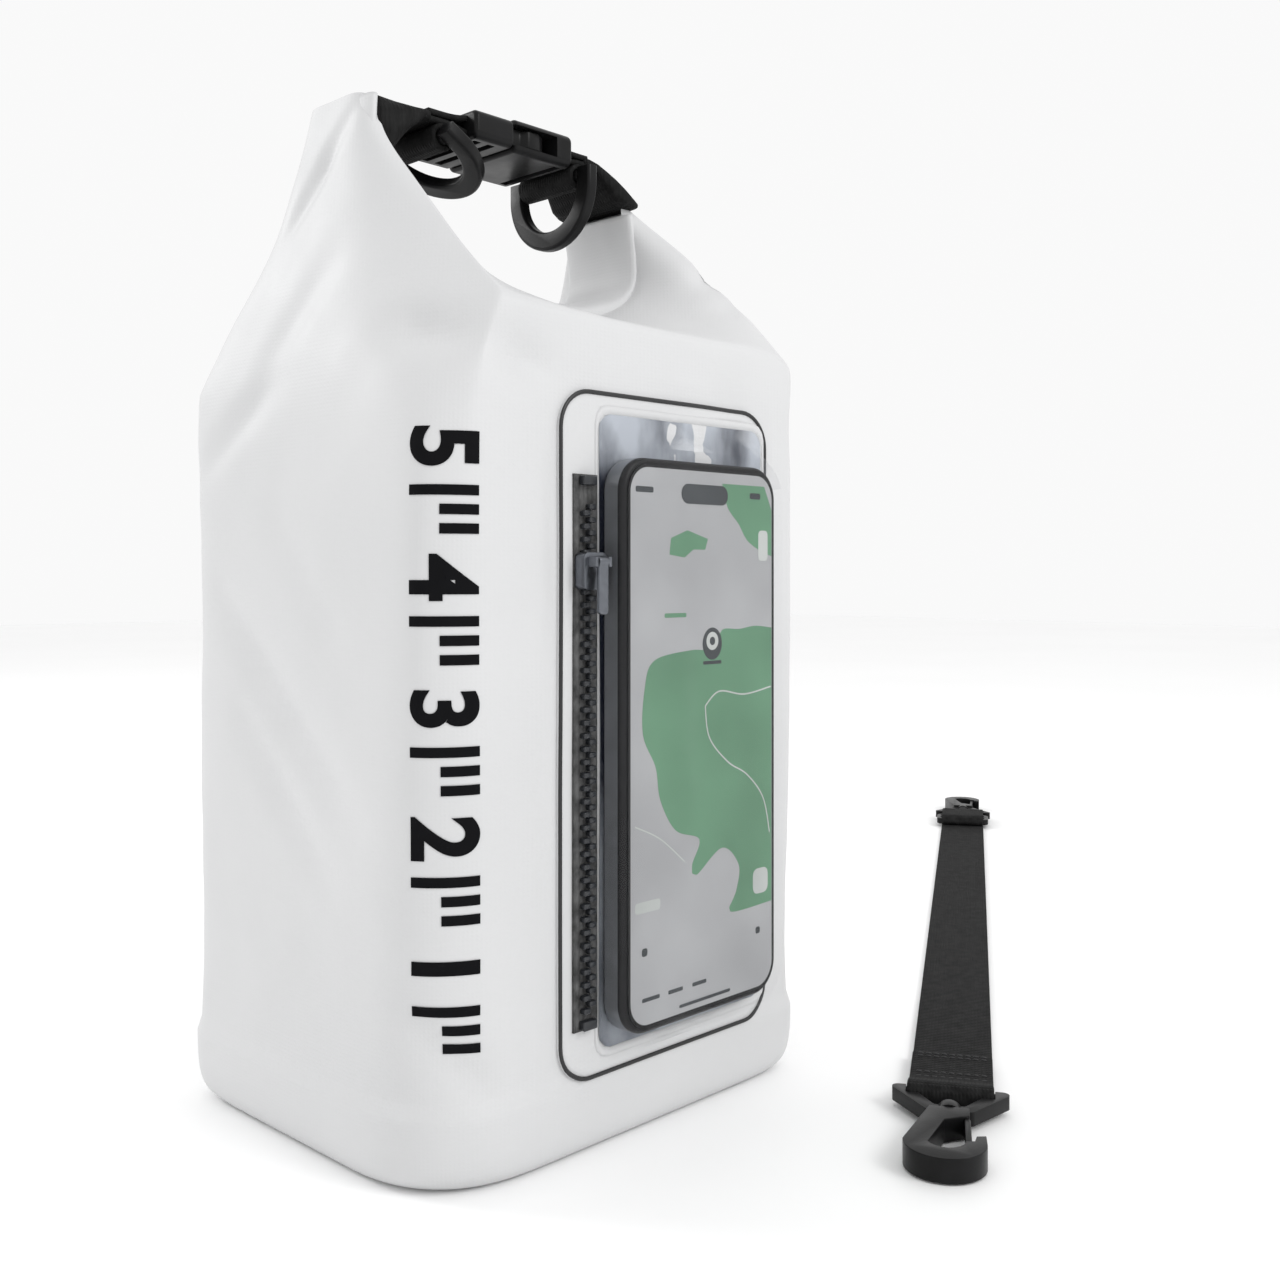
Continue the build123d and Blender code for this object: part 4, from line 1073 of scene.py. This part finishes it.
# ---------------------------------------------------------------- closure
CLOSURE_Z = 289.0
PAD_SIDES = 28
LEFT_TAB = (
    # x, z, width, thickness
    (-57.6, 280.6, 31.0, 18.5), (-56.6, 280.6, 32.2, 19.4), (-53.6, 281.2, 31.6, 18),
    (-50, 283.2, 30.2, 13.8), (-46.5, 285.4, 28.8, 9.6), (-43, 287.2, 27, 6.2),
    (-40, 288.4, 25.8, 4.2), (-37.4, 288.9, 25, 3.5),
)
RIGHT_TAB = (
    (23.5, 289, 25, 3.3), (26, 288.9, 25.2, 3.4), (29, 287.6, 26.6, 4.4), (32, 285, 28.8, 6.4),
    (35, 282.2, 31.4, 8.0), (38.5, 280.2, 33, 6.4), (42, 278.6, 33.2, 4.0), (44, 278, 32.6, 2.4),
)
LEFT_WEBBING = (
    # x, height above the closure's middle
    (-38, 1.1), (-30, 1.2), (-25, 1.9), (-22.6, 2.4), (-20.8, 1), (-20.6, -1), (-22, -2.4), (-25, -2),
    (-30, -1.1), (-38, -1.0),
)
RIGHT_WEBBING = (
    (25, 1.1), (20, 1.1), (15.6, 1.3), (12.8, 2.2), (11.2, 1), (11.1, -1.2), (12.8, -2.4), (16, -1.7),
    (20, -1.1), (25, -1.0),
)


def loft_pad(name, sections, material):
    """Closed soft shape through rounded sections along X: (x, z, width, thickness) in mm."""
    points = []
    for x, z, width, thickness in sections:
        for k in range(PAD_SIDES):
            across, height = swung(2 * math.pi * k / PAD_SIDES, (0.35, 0.5))
            points.append(Vector((x, across * width / 2, z + height * thickness / 2)) * MM)
    size = (len(sections), PAD_SIDES)
    faces = grid_faces(*size, closed=True) + end_faces(*size)
    return fix_normals(mesh_object(name, points, faces, material))


def top_place(along, across, up):
    return Vector((along, across, CLOSURE_Z + up)) * MM


def make_closure():
    left = loft_pad("end_tab_left_cloth", LEFT_TAB, TOP_WEAVE)
    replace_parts(left, "end_tab_left")
    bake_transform(left)

    right = loft_pad("end_tab_right_cloth", RIGHT_TAB, TOP_WEAVE)
    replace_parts(right, "end_tab_right")
    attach(right, "bag")

    web = strip("webbing_left_cloth", LEFT_WEBBING, 24.6, 1.5, top_place, TOP_WEAVE)
    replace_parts(web, "webbing_left")
    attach(web, "male_half")
    web = strip("webbing_right_cloth", RIGHT_WEBBING, 24.6, 1.5, top_place, TOP_WEAVE)
    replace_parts(web, "webbing_right")
    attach(web, "bag")
    for side in ("left", "right"):
        moulded(f"ring_loop_{side}", TOP_WEAVE, 0.5)
        moulded(f"carry_ring_{side}", PLASTIC, 1.1)
    moulded("buckle_female", PLASTIC, 0.7)
    moulded("buckle_male", PLASTIC, 0.6)
    moulded("buckle_prong_front", PLASTIC, 0.5)
    moulded("buckle_prong_back", PLASTIC, 0.5)


# ---------------------------------------------------------------- shoulder strap
STRAP_RUN = Vector((math.cos(STRAP_TURN), -math.sin(STRAP_TURN), 0))
STRAP_SIDE = Vector((-STRAP_RUN.y, STRAP_RUN.x, 0))
STRAP_TIP = Vector((30.0, -140.0, 0))
NEAR_BAR = 51.0
FAR_BAR = 532.0
BAR_Z = 3.8
LAYER = 1.7
STRAP_WIDTH = 25.0
WRAP = 2.06 + LAYER / 2  # from a bar's middle to the middle of the webbing round it
LOW = BAR_Z - WRAP
HIGH = BAR_Z + WRAP
ADJUSTER_REACH = 17.0
STITCH = (
    # across the row, along the row in stitch half lengths, up
    (-0.28, -1, 0), (0.28, -1, 0), (0.28, 1, 0), (-0.28, 1, 0),
    (-0.12, -0.6, 0.3), (0.12, -0.6, 0.3), (0.12, 0.6, 0.3), (-0.12, 0.6, 0.3),
)
STITCH_FACES = ((0, 1, 5, 4), (1, 2, 6, 5), (2, 3, 7, 6), (3, 0, 4, 7), (4, 5, 6, 7), (3, 2, 1, 0))


def strap_place(along, across, up):
    return (STRAP_TIP + STRAP_RUN * along + STRAP_SIDE * across + Vector((0, 0, up))) * MM


def round_bar(middle, side):
    """Path of the webbing round one side of a bar."""
    turns = [math.radians(angle) for angle in (20, 60, 90, 120, 160)]
    return [(middle + side * WRAP * math.sin(turn), BAR_Z + WRAP * math.cos(turn)) for turn in turns]


def stitches(name, starts, length, count, up, body):
    """Rows of raised thread stitches across the webbing."""
    points = []
    faces = []
    thread = plain_detail("thread", (0.03, 0.03, 0.032), 0.6)
    for along in starts:
        for k in range(count):
            across = (k - (count - 1) / 2) * length / count
            base = len(points)
            half = length / count * 0.36
            points += [strap_place(along + a, across + b * half, up + c) for a, b, c in STITCH]
            faces += [tuple(base + v for v in face) for face in STITCH_FACES]
    made = fix_normals(mesh_object(name, points, faces, thread))
    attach(made, body)


def make_strap():
    near = NEAR_BAR
    far = FAR_BAR
    path = [(near + 38, LOW + LAYER + 0.05), (near + 26, LOW + LAYER + 0.05), (near + 14, LOW + LAYER + 0.4),
            (near + 6, HIGH - 1.3), (near + 1, HIGH)]
    path += round_bar(near, -1) + [(near + 2, LOW), (near + 12, LOW), (near + 40, LOW)]
    path += [(near + 40 + 40 * k, LOW) for k in range(1, 10)] + [(far - 12, LOW), (far - 6.2, LOW)]
    web = strip("strap_cloth", path, STRAP_WIDTH, LAYER, strap_place, STRAP_WEAVE)
    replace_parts(web, "strap_webbing")
    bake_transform(web)

    loop = [(far - 6, HIGH), (far - 1, HIGH)] + round_bar(far, 1) + [(far - 1, LOW), (far - 6, LOW)]
    cloth = strip("strap_far_loop_cloth", loop, STRAP_WIDTH, LAYER, strap_place, STRAP_WEAVE)
    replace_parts(cloth, "strap_far_loop")
    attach(cloth, "strap_far")

    middle = far - ADJUSTER_REACH
    path = ((far - 5.6, HIGH), (middle + 9, HIGH), (middle, HIGH + 0.1), (middle - 7, HIGH),
            (middle - 9.2, HIGH - 0.9), (middle - 9.9, HIGH - 2.6), (middle - 9.9, 2.3))
    over = strip("strap_return_cloth", path, STRAP_WIDTH, LAYER, strap_place, STRAP_WEAVE)
    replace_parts(over, "strap_return")
    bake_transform(over)

    top = LOW + LAYER * 1.5 + 0.05
    stitches("near_stitches", (near + 16, near + 20, near + 34, near + 36.5), 22.0, 9, top, "strap")
    moulded("strap_adjuster", PLASTIC, 0.7)
    for end in ("near", "far"):
        moulded(f"strap_ring_{end}", PLASTIC, 0.8)
        moulded(f"strap_hook_{end}", PLASTIC, 1.3)
        moulded(f"strap_gate_{end}", PLASTIC, 0.4)


def finish_hidden_parts():
    """Finishes for the pieces that stay in their CAD shape."""
    strip_finish = plain_detail("stiffener", (0.6, 0.6, 0.58), 0.5)
    for name in ("stiffener_lower", "stiffener_upper"):
        refinish(name, strip_finish)
    case = dull(plain_detail("phone_case", (0.008, 0.008, 0.009), 0.4, 80.0), 0.2)
    band = plain_detail("phone_band", (0.2, 0.21, 0.225), 0.32, 120.0, Metallic=0.5)
    phone = moulded("phone_body", case, 0.5)
    phone.data.materials.append(band)
    front_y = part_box("phone_body")[0].y + 1.9 * MM
    back_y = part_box("phone_body")[1].y - 1.0 * MM
    with editing(phone.data) as model:
        for y in (front_y, back_y):
            cut_through(model, (0, y, 0), (0, 1, 0))
        for face in model.faces:
            face.material_index = 1 if front_y < face.calc_center_median().y < back_y else 0


studio()
bag = make_bag()
bag_tree = surface_tree(bag)
make_roll()
make_back_seam(bag_tree)
make_print(bag_tree)
make_patch(bag_tree)
make_piping(bag_tree)
make_window()
screen_map()
make_zip()
make_closure()
make_strap()
finish_hidden_parts()
